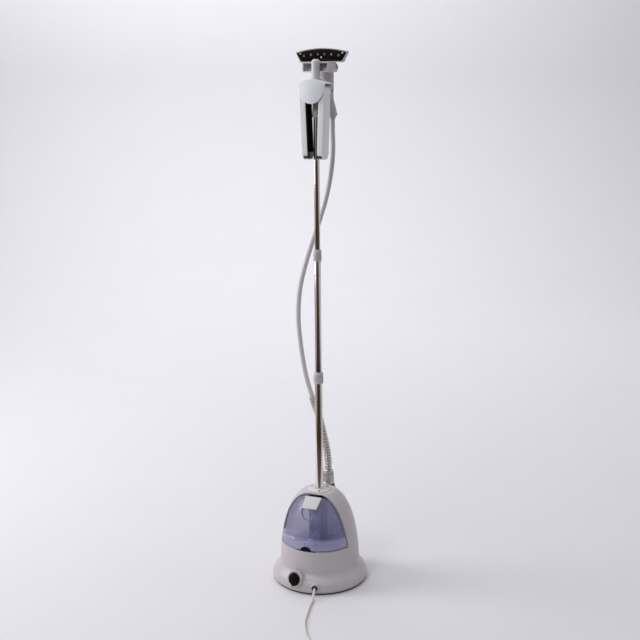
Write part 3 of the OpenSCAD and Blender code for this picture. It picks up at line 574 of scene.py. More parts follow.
def swept(points, radius_at, sides=20, close_ends=True, start_side=(0, 1, 0)):
    """A tube whose ring is extruded from point to point along a line."""
    bm = bmesh.new()
    side = Vector(start_side)
    total = len(points)
    ring = None
    travelled = 0.0
    for i, point in enumerate(points):
        ahead = points[min(total - 1, i + 1)]
        behind = points[max(0, i - 1)]
        along = (ahead - behind).normalized()
        side = (side - along * side.dot(along)).normalized()
        other = along.cross(side)
        if i:
            travelled += (point - behind).length
        if ring is None:
            made = bmesh.ops.create_circle(bm, segments=sides, radius=1.0)
            ring = made["verts"]
            edges = bm.edges[:]
        else:
            grown = bmesh.ops.extrude_edge_only(bm, edges=edges)["geom"]
            edges = [g for g in grown if isinstance(g, bmesh.types.BMEdge)
                     and all(v in grown for v in g.verts)]
            fresh = [g for g in grown if isinstance(g, bmesh.types.BMVert)]
            order = {tuple(round(c, 9) for c in v.co): v for v in fresh}
            ring = [order[tuple(round(c, 9) for c in v.co)] for v in ring]
        for k, vert in enumerate(ring):
            angle = FULL_TURN * k / sides
            out = side * math.cos(angle) + other * math.sin(angle)
            vert.co = point + out * radius_at(travelled, angle)
    if close_ends:
        bmesh.ops.holes_fill(bm, edges=bm.edges[:], sides=0)
    bmesh.ops.recalc_face_normals(bm, faces=bm.faces[:])
    return bm



# ---------------------------------------------------------------- stage


def make_stage():
    """A pale floor that curves up into the wall behind."""
    bend = 1.6
    wall_at = 4.0
    outline = [(-5.0, 0.0), (wall_at, 0.0)]
    outline += [(wall_at + bend * math.sin(a), bend - bend * math.cos(a))
                for a in [math.pi / 2 * k / 16 for k in range(1, 17)]]
    outline += [(wall_at + bend, 7.0)]
    bm = bmesh.new()
    verts = [bm.verts.new((-7.0, y, z)) for y, z in outline]
    edges = [bm.edges.new(pair) for pair in zip(verts, verts[1:])]
    grown = bmesh.ops.extrude_edge_only(bm, edges=edges)["geom"]
    fresh = [g for g in grown if isinstance(g, bmesh.types.BMVert)]
    bmesh.ops.translate(bm, vec=(14.0, 0, 0), verts=fresh)
    bmesh.ops.rotate(bm, cent=(0, 0, 0), matrix=Matrix.Rotation(CAMERA_AZIMUTH, 3, "Z"), verts=bm.verts[:])
    mesh = bpy.data.meshes.new("backdrop")
    bm.to_mesh(mesh)
    bm.free()
    mesh.shade_smooth()
    backdrop = bpy.data.objects.new("backdrop", mesh)
    bpy.context.collection.objects.link(backdrop)
    material, tree, shader, place = start_material("backdrop_paper")
    paper = mix_colour(tree, noise_node(tree, place, 3, 2), (0.71, 0.70, 0.735), (0.73, 0.72, 0.755))
    part = tree.nodes.new("ShaderNodeSeparateXYZ")
    tree.links.new(place, part.inputs[0])
    ahead = math_node(tree, "SUBTRACT", math_node(tree, "MULTIPLY", part.outputs["X"], math.sin(CAMERA_AZIMUTH)),
                      math_node(tree, "MULTIPLY", part.outputs["Y"], math.cos(CAMERA_AZIMUTH)))
    nearer = ramp(tree, ahead, 0.75, 1.5)
    tree.links.new(mix_colour(tree, nearer, paper, (0.10, 0.075, 0.06)), shader.inputs["Base Color"])
    shader.inputs["Roughness"].default_value = 0.9
    shader.inputs["Specular IOR Level"].default_value = 0.1
    mesh.materials.append(material)


def set_world():
    world = bpy.data.worlds.new("studio")
    world.use_nodes = True
    tree = world.node_tree
    sky = tree.nodes["Background"]
    way = tree.nodes.new("ShaderNodeTexCoord")
    part = tree.nodes.new("ShaderNodeSeparateXYZ")
    tree.links.new(way.outputs["Generated"], part.inputs[0])
    front = math_node(tree, "ADD", math_node(tree, "MULTIPLY", part.outputs["Y"], -0.92),
                      math_node(tree, "MULTIPLY", part.outputs["X"], 0.38))
    dark_room = ramp(tree, math_node(tree, "SUBTRACT", front, part.outputs["Z"]), 0.42, 0.78)
    tree.links.new(mix_colour(tree, dark_room, (0.93, 0.94, 0.98), (0.10, 0.07, 0.05)), sky.inputs["Color"])
    sky.inputs["Strength"].default_value = 0.44
    bpy.context.scene.world = world


make_stage()
set_world()
bpy.context.scene.view_settings.view_transform = "Standard"

# ---------------------------------------------------------------- mains cord

CORD_D = 6.5
CORD_ROUTE = [(38.7, -140.4, 23), (41, -149, 21.5), (42.8, -158, 14.5), (44, -166.5, 7.5),
              (45.8, -177, 3.6), (51, -207, 3.6), (60, -246, 3.6), (66, -272, 3.6), (74, -298, 3.6), (87, -328, 3.6),
              (103, -356, 3.6), (121, -380, 3.6), (133, -396, 3.6), (144, -410.5, 3.6)]
COIL_AT = Vector((126.5, -457, 0))
COIL_TURNS = [(42.5, 3.6), (36, 3.6), (29.5, 3.6), (29.5, 10.1), (36, 10.1), (42.5, 10.1)]
COIL_START = 37.8
PLUG_AT = Vector((196, -472, 13))
PLUG_TURN = math.radians(-75)


def coil_points():
    """Turns beside and on each other, wound clockwise, each easing into the next."""
    points = []
    steps = 30
    for index, (radius, height) in enumerate(COIL_TURNS):
        after = COIL_TURNS[min(index + 1, len(COIL_TURNS) - 1)]
        last = steps if index < len(COIL_TURNS) - 1 else 26
        for k in range(last):
            share = max(0.0, (k - 22) / 8) if index < len(COIL_TURNS) - 1 else 0.0
            share = share * share * (3 - 2 * share)
            r = radius + (after[0] - radius) * share
            z = height + (after[1] - height) * share
            a = math.radians(COIL_START) - FULL_TURN * k / steps
            points.append(COIL_AT + Vector((r * math.cos(a), r * math.sin(a), z)))
    return points


def make_power_cord():
    lead = [Vector(p) for p in CORD_ROUTE]
    tail = [Vector((150, -413, 11.4)), Vector((168, -417, 12.4)), Vector((182, -427, 13)),
            Vector((189, -442, 13)), PLUG_AT + Matrix.Rotation(PLUG_TURN, 3, "Z") @ Vector((-12, 0, 0))]
    line = smooth_route(lead + coil_points() + tail, 3)
    line = even_route([p * MM for p in line], 0.004)
    data = bpy.data.curves.new("power_cord_line", "CURVE")
    data.dimensions = "3D"
    data.bevel_depth = CORD_D / 2 * MM
    data.bevel_resolution = 4
    data.use_fill_caps = True
    spline = data.splines.new("POLY")
    spline.points.add(len(line) - 1)
    for point, place in zip(spline.points, line):
        point.co = (*place, 1)
    data.materials.append(FINISH["cord_ivory"])
    cord = bpy.data.objects.new("power_cord_line", data)
    bpy.context.collection.objects.link(cord)
    for sp in data.splines:
        sp.use_smooth = True
    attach(cord, "root")
    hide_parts("power_cord", "power_cord_coil")
    return cord, line


def make_coil_tie():
    """A soft strap round the turns."""
    half_w, half_h, wide = 11.0, 7.4, 9.0
    bm = bmesh.new()
    bmesh.ops.create_cube(bm, size=2)
    ends = [f for f in bm.faces if abs(f.normal.y) > 0.9]
    bmesh.ops.delete(bm, geom=ends, context="FACES_ONLY")
    bmesh.ops.scale(bm, vec=(half_w * MM, wide / 2 * MM, half_h * MM), verts=bm.verts[:])
    corners = [e for e in bm.edges if abs((e.verts[0].co - e.verts[1].co).normalized().y) > 0.9]
    bmesh.ops.bevel(bm, geom=corners, offset=5.5 * MM, offset_type="OFFSET", affect="EDGES", segments=5,
                    profile=0.5, material=-1)
    bmesh.ops.recalc_face_normals(bm, faces=bm.faces[:])
    bmesh.ops.solidify(bm, geom=bm.faces[:], thickness=-0.7 * MM)
    bmesh.ops.translate(bm, vec=Vector((36, 0, 8.4)) * MM, verts=bm.verts[:])
    bmesh.ops.rotate(bm, cent=(0, 0, 0), matrix=Matrix.Rotation(math.radians(215), 3, "Z"), verts=bm.verts[:])
    bmesh.ops.translate(bm, vec=COIL_AT * MM, verts=bm.verts[:])
    return finish_piece(bm, "cord_tie", "root", "rubber_black")


def make_plug():
    """Two-blade moulded plug with finger ridges and a ribbed tail."""
    parts = [soft_box((20, 24, 18), (13, 0, 0), 2.6, 4)]
    for side in (-1, 1):
        for x in (7, 11, 15):
            parts.append(soft_box((2, 1.6, 13), (x, side * 11.9, 0), 0.7, 2))
    tail = [(0.001, 0), (3.9, 0), (4.3, 1)]
    for ridge in range(4):
        z = 2 + ridge * 3.2
        tail += [(4.2 + ridge * 0.4, z), (5.0 + ridge * 0.4, z + 0.5), (5.0 + ridge * 0.4, z + 1.7),
                 (4.3 + ridge * 0.4, z + 2.2)]
    tail += [(6.4, 15.5), (7.6, 18), (7.6, 21), (0.001, 21)]
    parts.append(turned(tail, 32, Matrix.Translation((-16 * MM, 0, 0)) @ Matrix.Rotation(math.pi / 2, 4, "Y")))
    place = Matrix.Translation(PLUG_AT * MM) @ Matrix.Rotation(PLUG_TURN, 4, "Z")
    bm = joined(parts)
    bmesh.ops.transform(bm, matrix=place, verts=bm.verts[:])
    body = finish_piece(bm, "plug_moulding", "root", "cord_ivory", ["plug_body"])
    pins = cad_piece("plug_pins", 0.25, name="plug_blades")
    return body, pins


def make_strain_relief():
    """Black grommet in the cord exit, stepped down towards the cord."""
    outline = [(3.2, 3.5), (5.2, 3.5), (5.8, 3.0), (5.9, 2.1), (5.4, 1.9), (5.5, 1.2), (7.4, 0.9), (8.4, 0.5),
               (8.6, 0.0), (7.9, -0.3), (7.9, -20), (3.2, -20)]
    return finish_piece(turned(closed(outline), 40, GLAND_PLACE), "cord_grommet", "root", "rubber_black",
                        ["cord_gland"])


CORD_ANGLE, GLAND_REACH, GLAND_Z = math.radians(15.4), 142, 23
GLAND_PLACE = (Matrix.Rotation(CORD_ANGLE, 4, "Z") @ Matrix.Translation((0, -GLAND_REACH * MM, GLAND_Z * MM))
               @ Matrix.Rotation(math.pi / 2, 4, "X"))
cord, cord_line = make_power_cord()
cord_tie = make_coil_tie()
plug_body, plug_pins = make_plug()
make_strain_relief()

# ---------------------------------------------------------------- steam hose

HOSE_D = 14
GUARD_D = 22
HOSE_ROUTE = [(0, 72, 300), (0, 72, 311), (0, 72, 335), (-4, 72, 370), (-14, 70, 420), (-27, 67, 474),
              (-46, 62, 534), (-64, 58, 602), (-77, 54, 690), (-83, 52, 775), (-78, 54, 855),
              (-64, 58, 920), (-45, 63, 985), (-22, 69, 1055), (-3, 75, 1120), (10, 81, 1190),
              (15, 86, 1255), (13, 89, 1312), (13, 89, 1328), (13, 89, 1345)]
HOSE_STEPS = 8
GUARD_LAST, LOWER_LAST, MIDDLE_LAST = 6, 9, 15
LOWER_BEND = ((0, 0, 0.330), (0, 0, 0.775))
MIDDLE_BEND = ((0, 0, 0.775), (0, 0, 1.190))
UPPER_BEND = ((0, 0, 1.190), (0, 0, 1.335))
HOSE_LINE = [p * MM for p in smooth_route(HOSE_ROUTE, HOSE_STEPS)]


def hose_stretch(name, first, last, bodies, bend, node):
    line = even_route(HOSE_LINE[first * HOSE_STEPS:last * HOSE_STEPS + 1], 0.006)
    piece = finish_piece(swept(line, lambda s, a: HOSE_D / 2 * MM, 24), name, None, "hose_grey", [node])
    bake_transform(piece, *bodies, start=bend[0], end=bend[1])
    return piece


def make_bend_guard():
    """Sleeve wound from one round rib, loose over the foot of the hose."""
    pitch = 8.5 * MM
    line = even_route(HOSE_LINE[HOSE_STEPS:GUARD_LAST * HOSE_STEPS + 1], pitch / 8)
    total = route_length(line)

    def rib(s, angle):
        wave = math.sin(math.pi * ((s / pitch + angle / FULL_TURN) % 1.0)) ** 0.7
        ends = min(1.0, s / (3 * MM), (total - s) / (3 * MM))
        return (GUARD_D / 2 - 1.9 + 1.9 * wave * max(0.0, ends)) * MM

    piece = finish_piece(swept(line, rib, 28), "bend_guard", None, "guard_silver", ["hose_guard"], 60)
    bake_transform(piece, "root", "middle_mast", start=LOWER_BEND[0], end=LOWER_BEND[1])
    return piece


hose_stretch("hose_foot", 0, LOWER_LAST, ("root", "middle_mast"), LOWER_BEND, "hose_lower")
hose_stretch("hose_bow", LOWER_LAST, MIDDLE_LAST, ("middle_mast", "upper_mast"), MIDDLE_BEND, "hose_middle")
hose_stretch("hose_rise", MIDDLE_LAST, len(HOSE_ROUTE) - 1, ("upper_mast", "steam_head"), UPPER_BEND,
             "hose_upper")
make_bend_guard()

# ---------------------------------------------------------------- base

DOME_R, DOME_Z, DOME_H, CROWN_Z = 117, 50, 230, 272
SKIRT = [(136, 5), (139, 8), (140, 14), (139.5, 21), (137, 29), (133, 36), (128, 41.5), (123, 45.5)]
LEDGE_Z, BAY_Y = 120, -40
KNOB_REACH, KNOB_Z, KNOB_TILT, KNOB_ANGLE = 139, 42, math.radians(15), math.radians(10.4)
KNOB_PLACE = (Matrix.Rotation(-KNOB_ANGLE, 4, "Z") @ Matrix.Translation((0, -KNOB_REACH * MM, KNOB_Z * MM))
              @ Matrix.Rotation(math.pi / 2 - KNOB_TILT, 4, "X"))
PORT_Y = 72


def dome_at(z):
    return DOME_R * max(0.001, 1 - ((z - DOME_Z) / DOME_H) ** 2) ** 0.345


def modifier(piece, kind, **settings):
    step = piece.modifiers.new(kind.lower(), kind)
    for key, value in settings.items():
        setattr(step, key, value)
    return step


def carved(bm, cutter):
    """The first bmesh with the second cut out of it."""
    things = []
    for source in (bm, cutter):
        mesh = bpy.data.meshes.new("carving")
        bmesh.ops.recalc_face_normals(source, faces=source.faces[:])
        source.to_mesh(mesh)
        source.free()
        thing = bpy.data.objects.new("carving", mesh)
        bpy.context.collection.objects.link(thing)
        things.append(thing)
    modifier(things[0], "BOOLEAN", operation="DIFFERENCE", solver="EXACT", object=things[1])
    bpy.context.view_layer.update()
    result = bmesh.new()
    result.from_object(things[0], bpy.context.evaluated_depsgraph_get())
    for thing in things:
        bpy.data.objects.remove(thing)
    return result


def make_base_shell():
    bands = [Vector((r, z, 0)) for r, z in SKIRT]
    bands += [Vector((dome_at(z), z, 0)) for z in range(54, 270, 9)]
    bands += [Vector((dome_at(268) - 0.4, 268, 0))]
    outline = [(132, 5)] + [(p.x, p.y) for p in smooth_route(bands, 2)]
    outline += [(49.0, 270.2), (47.2, 271.6), (45, CROWN_Z), (30, CROWN_Z), (18, CROWN_Z)]
    bm = bmesh.new()
    add_turned(bm, outline, 160)
    for point, normal in (((0, 0, LEDGE_Z * MM), (0, 0, 1)), ((0, BAY_Y * MM, 0), (0, 1, 0))):
        geometry = bm.verts[:] + bm.edges[:] + bm.faces[:]
        bmesh.ops.bisect_plane(bm, geom=geometry, dist=0.000001, plane_co=point, plane_no=normal)
    bay = [f for f in bm.faces if f.calc_center_median().y < BAY_Y * MM
           and f.calc_center_median().z > LEDGE_Z * MM]
    bmesh.ops.delete(bm, geom=bay, context="FACES")
    piece = finish_piece(bm, "base_moulding", "root", "shell_grey", ["base_shell"])
    modifier(piece, "SOLIDIFY", thickness=3 * MM, offset=-1, use_even_offset=True)
    modifier(piece, "BEVEL", width=0.7 * MM, segments=2, limit_method="ANGLE",
             angle_limit=math.radians(50))
    return piece


def make_knob_boss():
    """Round boss with a shallow dish behind the knob and a hooded boss round the cord."""
    knob = [(0.001, -1.2), (19.6, -1.2), (20.2, -0.9), (20.6, -0.2), (21.2, 0), (23.2, 0), (24.2, -0.35),
            (24.8, -1.1), (25, -2.2), (25.1, -12), (25.4, -40), (0.001, -40)]
    cord = [(8.4, -0.6), (9.2, 0), (11.4, 0), (12.4, -0.4), (12.9, -1.2), (13.1, -2.4), (13.4, -30),
            (8.4, -30)]
    bm = joined([turned(knob, 72, KNOB_PLACE), turned(closed(cord), 56, GLAND_PLACE)])
    return finish_piece(bm, "panel_bosses", "root", "shell_grey")


def make_dial_marks():
    """Raised ticks round the knob, growing towards full steam."""
    parts = []
    for k in range(7):
        angle = math.radians(-150 + 40 * k)
        tick = soft_box((0.7, 1.0 + 0.22 * k, 0.3), (0, 0, 0), 0.1, 1)
        turn = (KNOB_PLACE @ Matrix.Rotation(-angle, 4, "Z")
                @ Matrix.Translation((0, 22.0 * MM, 0.05 * MM)))
        bmesh.ops.transform(tick, matrix=turn, verts=tick.verts[:])
        parts.append(tick)
    return finish_piece(joined(parts), "dial_marks", "root", "liner_grey")


def pointed_bar():
    """Grip bar across the knob, drawn out to a blunt point at each end."""
    half_w, half_l = 4.2, 20.5
    bm = bmesh.new()
    outline = [(-half_w, -13), (-1.1, -half_l), (1.1, -half_l), (half_w, -13), (half_w, 13), (1.6, half_l - 1.5),
               (-1.6, half_l - 1.5), (-half_w, 13)]
    face = bm.faces.new([bm.verts.new((x * MM, y * MM, 3.0 * MM)) for x, y in outline])
    grown = bmesh.ops.extrude_face_region(bm, geom=[face])["geom"]
    fresh = [g for g in grown if isinstance(g, bmesh.types.BMVert)]
    bmesh.ops.translate(bm, vec=(0, 0, 5.0 * MM), verts=fresh)
    bmesh.ops.recalc_face_normals(bm, faces=bm.faces[:])
    bmesh.ops.bevel(bm, geom=bm.edges[:], offset=1.0 * MM, offset_type="OFFSET", affect="EDGES", segments=3,
                    profile=0.5, material=-1, clamp_overlap=True)
    return bm


def make_knob():
    """Black knob: chamfered disc, raised grip bar with a pointer tip."""
    disc = [(0.001, 0.4), (17.4, 0.4), (18, 0.9), (18, 1.8), (17.4, 3.6), (16.6, 4.2), (14.2, 4.5),
            (13.4, 5.0), (12.9, 6.6), (12.2, 7.2), (0.001, 7.4)]
    parts = [turned(disc, 72)]
    parts.append(pointed_bar())
    for k in range(24):
        a = FULL_TURN * k / 24
        rib = soft_box((1.1, 1.0, 2.0), (0, 0, 0), 0.4, 2)
        bmesh.ops.transform(rib, matrix=Matrix.Rotation(a, 4, "Z") @ Matrix.Translation((0, 17.3 * MM, 2.6 * MM)),
                            verts=rib.verts[:])
        parts.append(rib)
    bm = joined(parts)
    bmesh.ops.transform(bm, matrix=KNOB_PLACE, verts=bm.verts[:])
    return finish_piece(bm, "steam_knob", "control_knob", "black_plastic", ["control_knob"])


def cross_screw(radius, height, place):
    """Pan head with a cross recess, standing on z = 0."""
    head = [(0.001, -0.4 * height), (radius, -0.4 * height), (radius, 0.25 * height),
            (radius * 0.86, 0.72 * height), (radius * 0.55, 0.95 * height), (0.001, height)]
    bm = turned(head, 32)
    arm = radius * 1.15
    for turn in (0, math.pi / 2):
        slot_cut = soft_box((arm, radius * 0.26, height), (0, 0, 0.85 * height), 0.05, 1,
                            Matrix.Rotation(turn, 4, "Z"))
        bm = carved(bm, slot_cut)
    bmesh.ops.transform(bm, matrix=place, verts=bm.verts[:])
    return bm


def make_top_cap():
    disc = [(11.2, 262), (15.6, 262), (15.9, 262.4), (16, 271.6), (33.2, 272.05), (34, 272.5), (33.8, 273.3),
            (32.4, 274.2), (26, 275.2), (19, 276.4), (16.6, 276.95), (15.4, 276.6), (14.6, 275.8), (12.4, 275.6),
            (11.2, 275.6)]
    piece = finish_piece(turned(closed(disc), 96), "mast_cap", "root", "white_plastic", ["top_cap"], 50)
    screws = []
    for k in range(3):
        place = (Matrix.Rotation(math.radians(50 + 120 * k), 4, "Z")
                 @ Matrix.Translation((26 * MM, 0, 275.4 * MM)))
        screws.append(cross_screw(2.6, 1.5, place))
    finish_piece(joined(screws), "mast_cap_screws", "root", "rubber_black", ["cap_screws"])
    return piece


# ---------------------------------------------------------------- water tank

TANK_Y, TANK_Z, TANK_TOP, TANK_INSET, TANK_WALL = -41, 121, 262, 5, 2.5


def tank_outline():
    lip = [(dome_at(122.6) - 1.6, 122.6)] + [(dome_at(z) - 0.4, z) for z in (124.6, 130, 136, 142)]
    lip += [(dome_at(147) - 1.2, 147), (dome_at(151) - 3.0, 151), (dome_at(156) - 4.6, 156)]
    lip += [(dome_at(z) - TANK_INSET, z) for z in (162, 170, 180, 190, 200, 210, 220, 230, 240, 248, 254)]
    lip += [(dome_at(258.6) - TANK_INSET, 258.6), (dome_at(261) - TANK_INSET - 0.6, 260.9)]
    line = smooth_route([Vector((r, z, 0)) for r, z in lip], 2)
    return [(0.001, TANK_Z), (dome_at(121) - 4.2, TANK_Z)] + [(p.x, p.y) for p in line] \
        + [(dome_at(262) - TANK_INSET - 2, 262), (0.001, 262)]


def finger_pocket_cutter():
    bm = bmesh.new()
    bmesh.ops.create_cone(bm, cap_ends=True, segments=64, radius1=POCKET_R * MM,
                          radius2=POCKET_R * MM, depth=60 * MM)
    bmesh.ops.translate(bm, vec=(0, 0, 20 * MM), verts=bm.verts[:])
    rim = [e for e in bm.edges if e.verts[0].co.z < 0 and e.verts[1].co.z < 0]
    bmesh.ops.bevel(bm, geom=rim, offset=5 * MM, offset_type="OFFSET", affect="EDGES", segments=5,
                    profile=0.5, material=-1)
    place = (Matrix.Translation((0, POCKET_Y * MM, POCKET_Z * MM))
             @ Matrix.Rotation(math.radians(POCKET_TILT), 4, "X"))
    bmesh.ops.transform(bm, matrix=place, verts=bm.verts[:])
    return bm


def make_tank():
    bm = bmesh.new()
    add_turned(bm, tank_outline(), 160)
    geometry = bm.verts[:] + bm.edges[:] + bm.faces[:]
    made = bmesh.ops.bisect_plane(bm, geom=geometry, dist=0.000001, plane_co=(0, TANK_Y * MM, 0),
                                  plane_no=(0, 1, 0), clear_outer=True)
    rim = [g for g in made["geom_cut"] if isinstance(g, bmesh.types.BMEdge)]
    bmesh.ops.holes_fill(bm, edges=rim, sides=0)
    corner = [e for e in bm.edges if len(e.link_faces) == 2 and e.calc_face_angle(0) > math.radians(50)]
    bmesh.ops.bevel(bm, geom=corner, offset=1.0 * MM, offset_type="OFFSET", affect="EDGES", segments=2,
                    profile=0.5, material=-1, clamp_overlap=True)
    bm = carved(bm, finger_pocket_cutter())
    bm = carved(bm, handle_recess_cutter())
    piece = finish_piece(bm, "water_tank_shell", "water_tank", "tank_violet", ["tank_body"], 30)
    modifier(piece, "SOLIDIFY", thickness=TANK_WALL * MM, offset=-1, use_even_offset=False)
    return piece


FLAP_PIN = Vector((0, -48, 263))
FLAP_END = Vector((0, -79.5, 242))
FLAP_T = 6


def along_flap():
    """Frame with X across the tank, Y down the flap and Z out of its face, at the pin."""
    down = (FLAP_END - FLAP_PIN).normalized()
    across = Vector((1, 0, 0))
    out = across.cross(down)
    turn = Matrix((across, down, out)).transposed().to_4x4()
    return Matrix.Translation(FLAP_PIN * MM) @ turn, (FLAP_END - FLAP_PIN).length


def handle_recess_cutter():
    place, reach = along_flap()
    up = 1 if (place.to_3x3() @ Vector((0, 0, 1))).z > 0 else -1
    bm = soft_box((53, reach + 7.2 + 20, 44), (0, reach / 2 + 10, up * (22 - FLAP_T / 2 - 0.4)), 1.2, 2)
    bmesh.ops.transform(bm, matrix=place, verts=bm.verts[:])
    return bm


def make_tank_handle():
    """Tapered flap with a crowned face and a rolled free edge."""
    place, reach = along_flap()
    bm = bmesh.new()
    bmesh.ops.create_grid(bm, x_segments=12, y_segments=10, size=1)
    for vert in bm.verts:
        share = (vert.co.y + 1) / 2
        half = 26 + (22 - 26) * share
        x = vert.co.x * half
        crown = 1.6 * (1 - vert.co.x ** 2) * (1 - 0.5 * abs(vert.co.y) ** 3)
        vert.co = Vector((x, -2.6 + share * (reach + 5.2), crown)) * MM
    grown = bmesh.ops.extrude_face_region(bm, geom=bm.faces[:])["geom"]
    fresh = [g for g in grown if isinstance(g, bmesh.types.BMVert)]
    for vert in fresh:
        vert.co.z = -2.4 * MM
    bmesh.ops.recalc_face_normals(bm, faces=bm.faces[:])
    rim = [e for e in bm.edges if len(e.link_faces) == 2 and e.calc_face_angle(0) > math.radians(40)]
    bmesh.ops.bevel(bm, geom=rim, offset=1.3 * MM, offset_type="OFFSET", affect="EDGES", segments=3,
                    profile=0.5, material=-1, clamp_overlap=True)
    up = 1 if (place.to_3x3() @ Vector((0, 0, 1))).z > 0 else -1
    if up < 0:
        bmesh.ops.scale(bm, vec=(1, 1, -1), verts=bm.verts[:])
    bmesh.ops.transform(bm, matrix=place, verts=bm.verts[:])
    return finish_piece(bm, "tank_flap", "tank_handle", "white_plastic",
                        ["tank_handle"])


# ---------------------------------------------------------------- hose coupling


def make_coupling():
    nut = [(7.2, 266.2), (16.6, 266.2), (17.3, 266.8), (17.3, 269.4), (16.4, 270.4), (14.6, 303.6),
           (14.9, 304.4), (14.8, 307.4), (14.2, 308.4), (12.0, 309.0), (11.0, 310.6), (7.6, 310.6),
           (7.6, 301), (7.2, 300)]
    parts = [turned(closed(nut), 72)]
    for k in range(16):
        rib = soft_box((2.6, 2.2, 31), (0, 0, 0), 0.8, 3)
        bmesh.ops.transform(rib, matrix=Matrix.Rotation(FULL_TURN * k / 16, 4, "Z")
                            @ Matrix.Translation((0, 15.6 * MM, 287 * MM))
                            @ Matrix.Rotation(math.radians(3.1), 4, "X"), verts=rib.verts[:])
        parts.append(rib)
    bm = joined(parts)
    bmesh.ops.translate(bm, vec=(0, PORT_Y * MM, 0), verts=bm.verts[:])
    finish_piece(bm, "coupling_grip", "coupling_nut", "silver_metal", ["coupling_nut"])
    seal = [(10.2, 258.1), (18.0, 258.1), (18.5, 258.8), (18.6, 261.5), (18.5, 265.0), (17.6, 265.9),
            (10.2, 265.9)]
    finish_piece(turned(closed(seal), 72, Matrix.Translation((0, PORT_Y * MM, 0))), "coupling_gasket", "root",
                 "rubber_black", ["coupling_seal"])
    rim = [(18.9, 252), (21.4, 252), (21.2, 257.2), (20.8, 258.0), (19.9, 258.2), (18.9, 257.6)]
    finish_piece(turned(closed(rim), 72, Matrix.Translation((0, PORT_Y * MM, 0))), "port_rim", "root",
                 "shell_grey")


# ---------------------------------------------------------------- mast


def tube_outline(d, z0, z1, wall=1.0):
    """Thin tube with its free edges rolled in a little."""
    r = d / 2
    return closed([(r - wall, z0 + 0.3), (r - wall + 0.3, z0), (r - 0.3, z0), (r, z0 + 0.4), (r, z1 - 0.8),
                   (r - 0.25, z1 - 0.2), (r - 0.5, z1), (r - wall, z1 - 0.2)])


def make_mast():
    finish_piece(turned(tube_outline(22, 12, 614), 64), "mast_lower", "root", "chrome_tube", ["lower_tube"])
    finish_piece(turned(tube_outline(19, 330, 970), 64), "mast_middle", "middle_mast", "chrome_tube",
                 ["middle_tube"])
    upper = softened("upper_tube", 0.25, 2)
    finish_piece(upper, "mast_upper", "upper_mast", "chrome_tube", ["upper_tube"], clean=False)


def make_collar(name, node, body, outer, top, z, below, above):
    """Twist lock: grip flutes between two smooth bands, with a narrowed lip on top."""
    r, t = outer / 2, top / 2
    b, a = below / 2 + 0.06, above / 2 + 0.06
    outline = [(b, z), (r - 0.8, z), (r - 0.2, z + 0.3), (r, z + 1), (r, z + 4), (r - 0.6, z + 4.6),
               (r - 0.6, z + 22.4), (r, z + 23), (r, z + 27), (r - 0.3, z + 28), (t + 0.4, z + 31.4),
               (t, z + 32.4), (t - 0.6, z + 33), (a, z + 33), (a, z + 18.3), (b, z + 18.3)]
    parts = [turned(closed(outline), 72)]
    count = 22
    for k in range(count):
        flute = soft_box((1.5, 1.2, 17.2), (0, 0, 0), 0.55, 2)
        bmesh.ops.transform(flute, matrix=Matrix.Rotation(FULL_TURN * k / count, 4, "Z")
                            @ Matrix.Translation((0, (r - 0.65) * MM, (z + 13.5) * MM)), verts=flute.verts[:])
        parts.append(flute)
    return finish_piece(joined(parts), name, body, "collar_grey", [node])


# ---------------------------------------------------------------- hanger


def make_hanger():
    cad_piece("mast_adapter", 1.0, segments=3)
    cad_piece("hanger_front_cover", 1.6, segments=4)
    cad_piece("hanger_back_cover", 0.8, segments=2)
    for arm in ("left_arm", "right_arm"):
        cad_piece(arm, 2.2, segments=4).data.materials[0] = FINISH["arm_blue"]
    cad_piece("head_cradle", 1.0, segments=3)
    cad_piece("adapter_button", 0.6, segments=3)


# ---------------------------------------------------------------- steam head

PLATE_FACE_Y, PLATE_Z = 40, 1500
HOLE_X = (-51, -30, -9.5, 9.5, 30, 51)
PLATE_SCREWS = ((-62, 21), (62, 21), (0, 10.5))


def facing_front(x, z):
    """Places a turned part on the steam plate with its axis towards the front."""
    return (Matrix.Translation((x * MM, PLATE_FACE_Y * MM, z * MM)) @ Matrix.Rotation(math.pi / 2, 4, "X"))


PLATE_RISE, PLATE_ARCH, PLATE_FOOT_W, PLATE_HALF_W, PLATE_T = 23, 10.5, 60, 74, 4


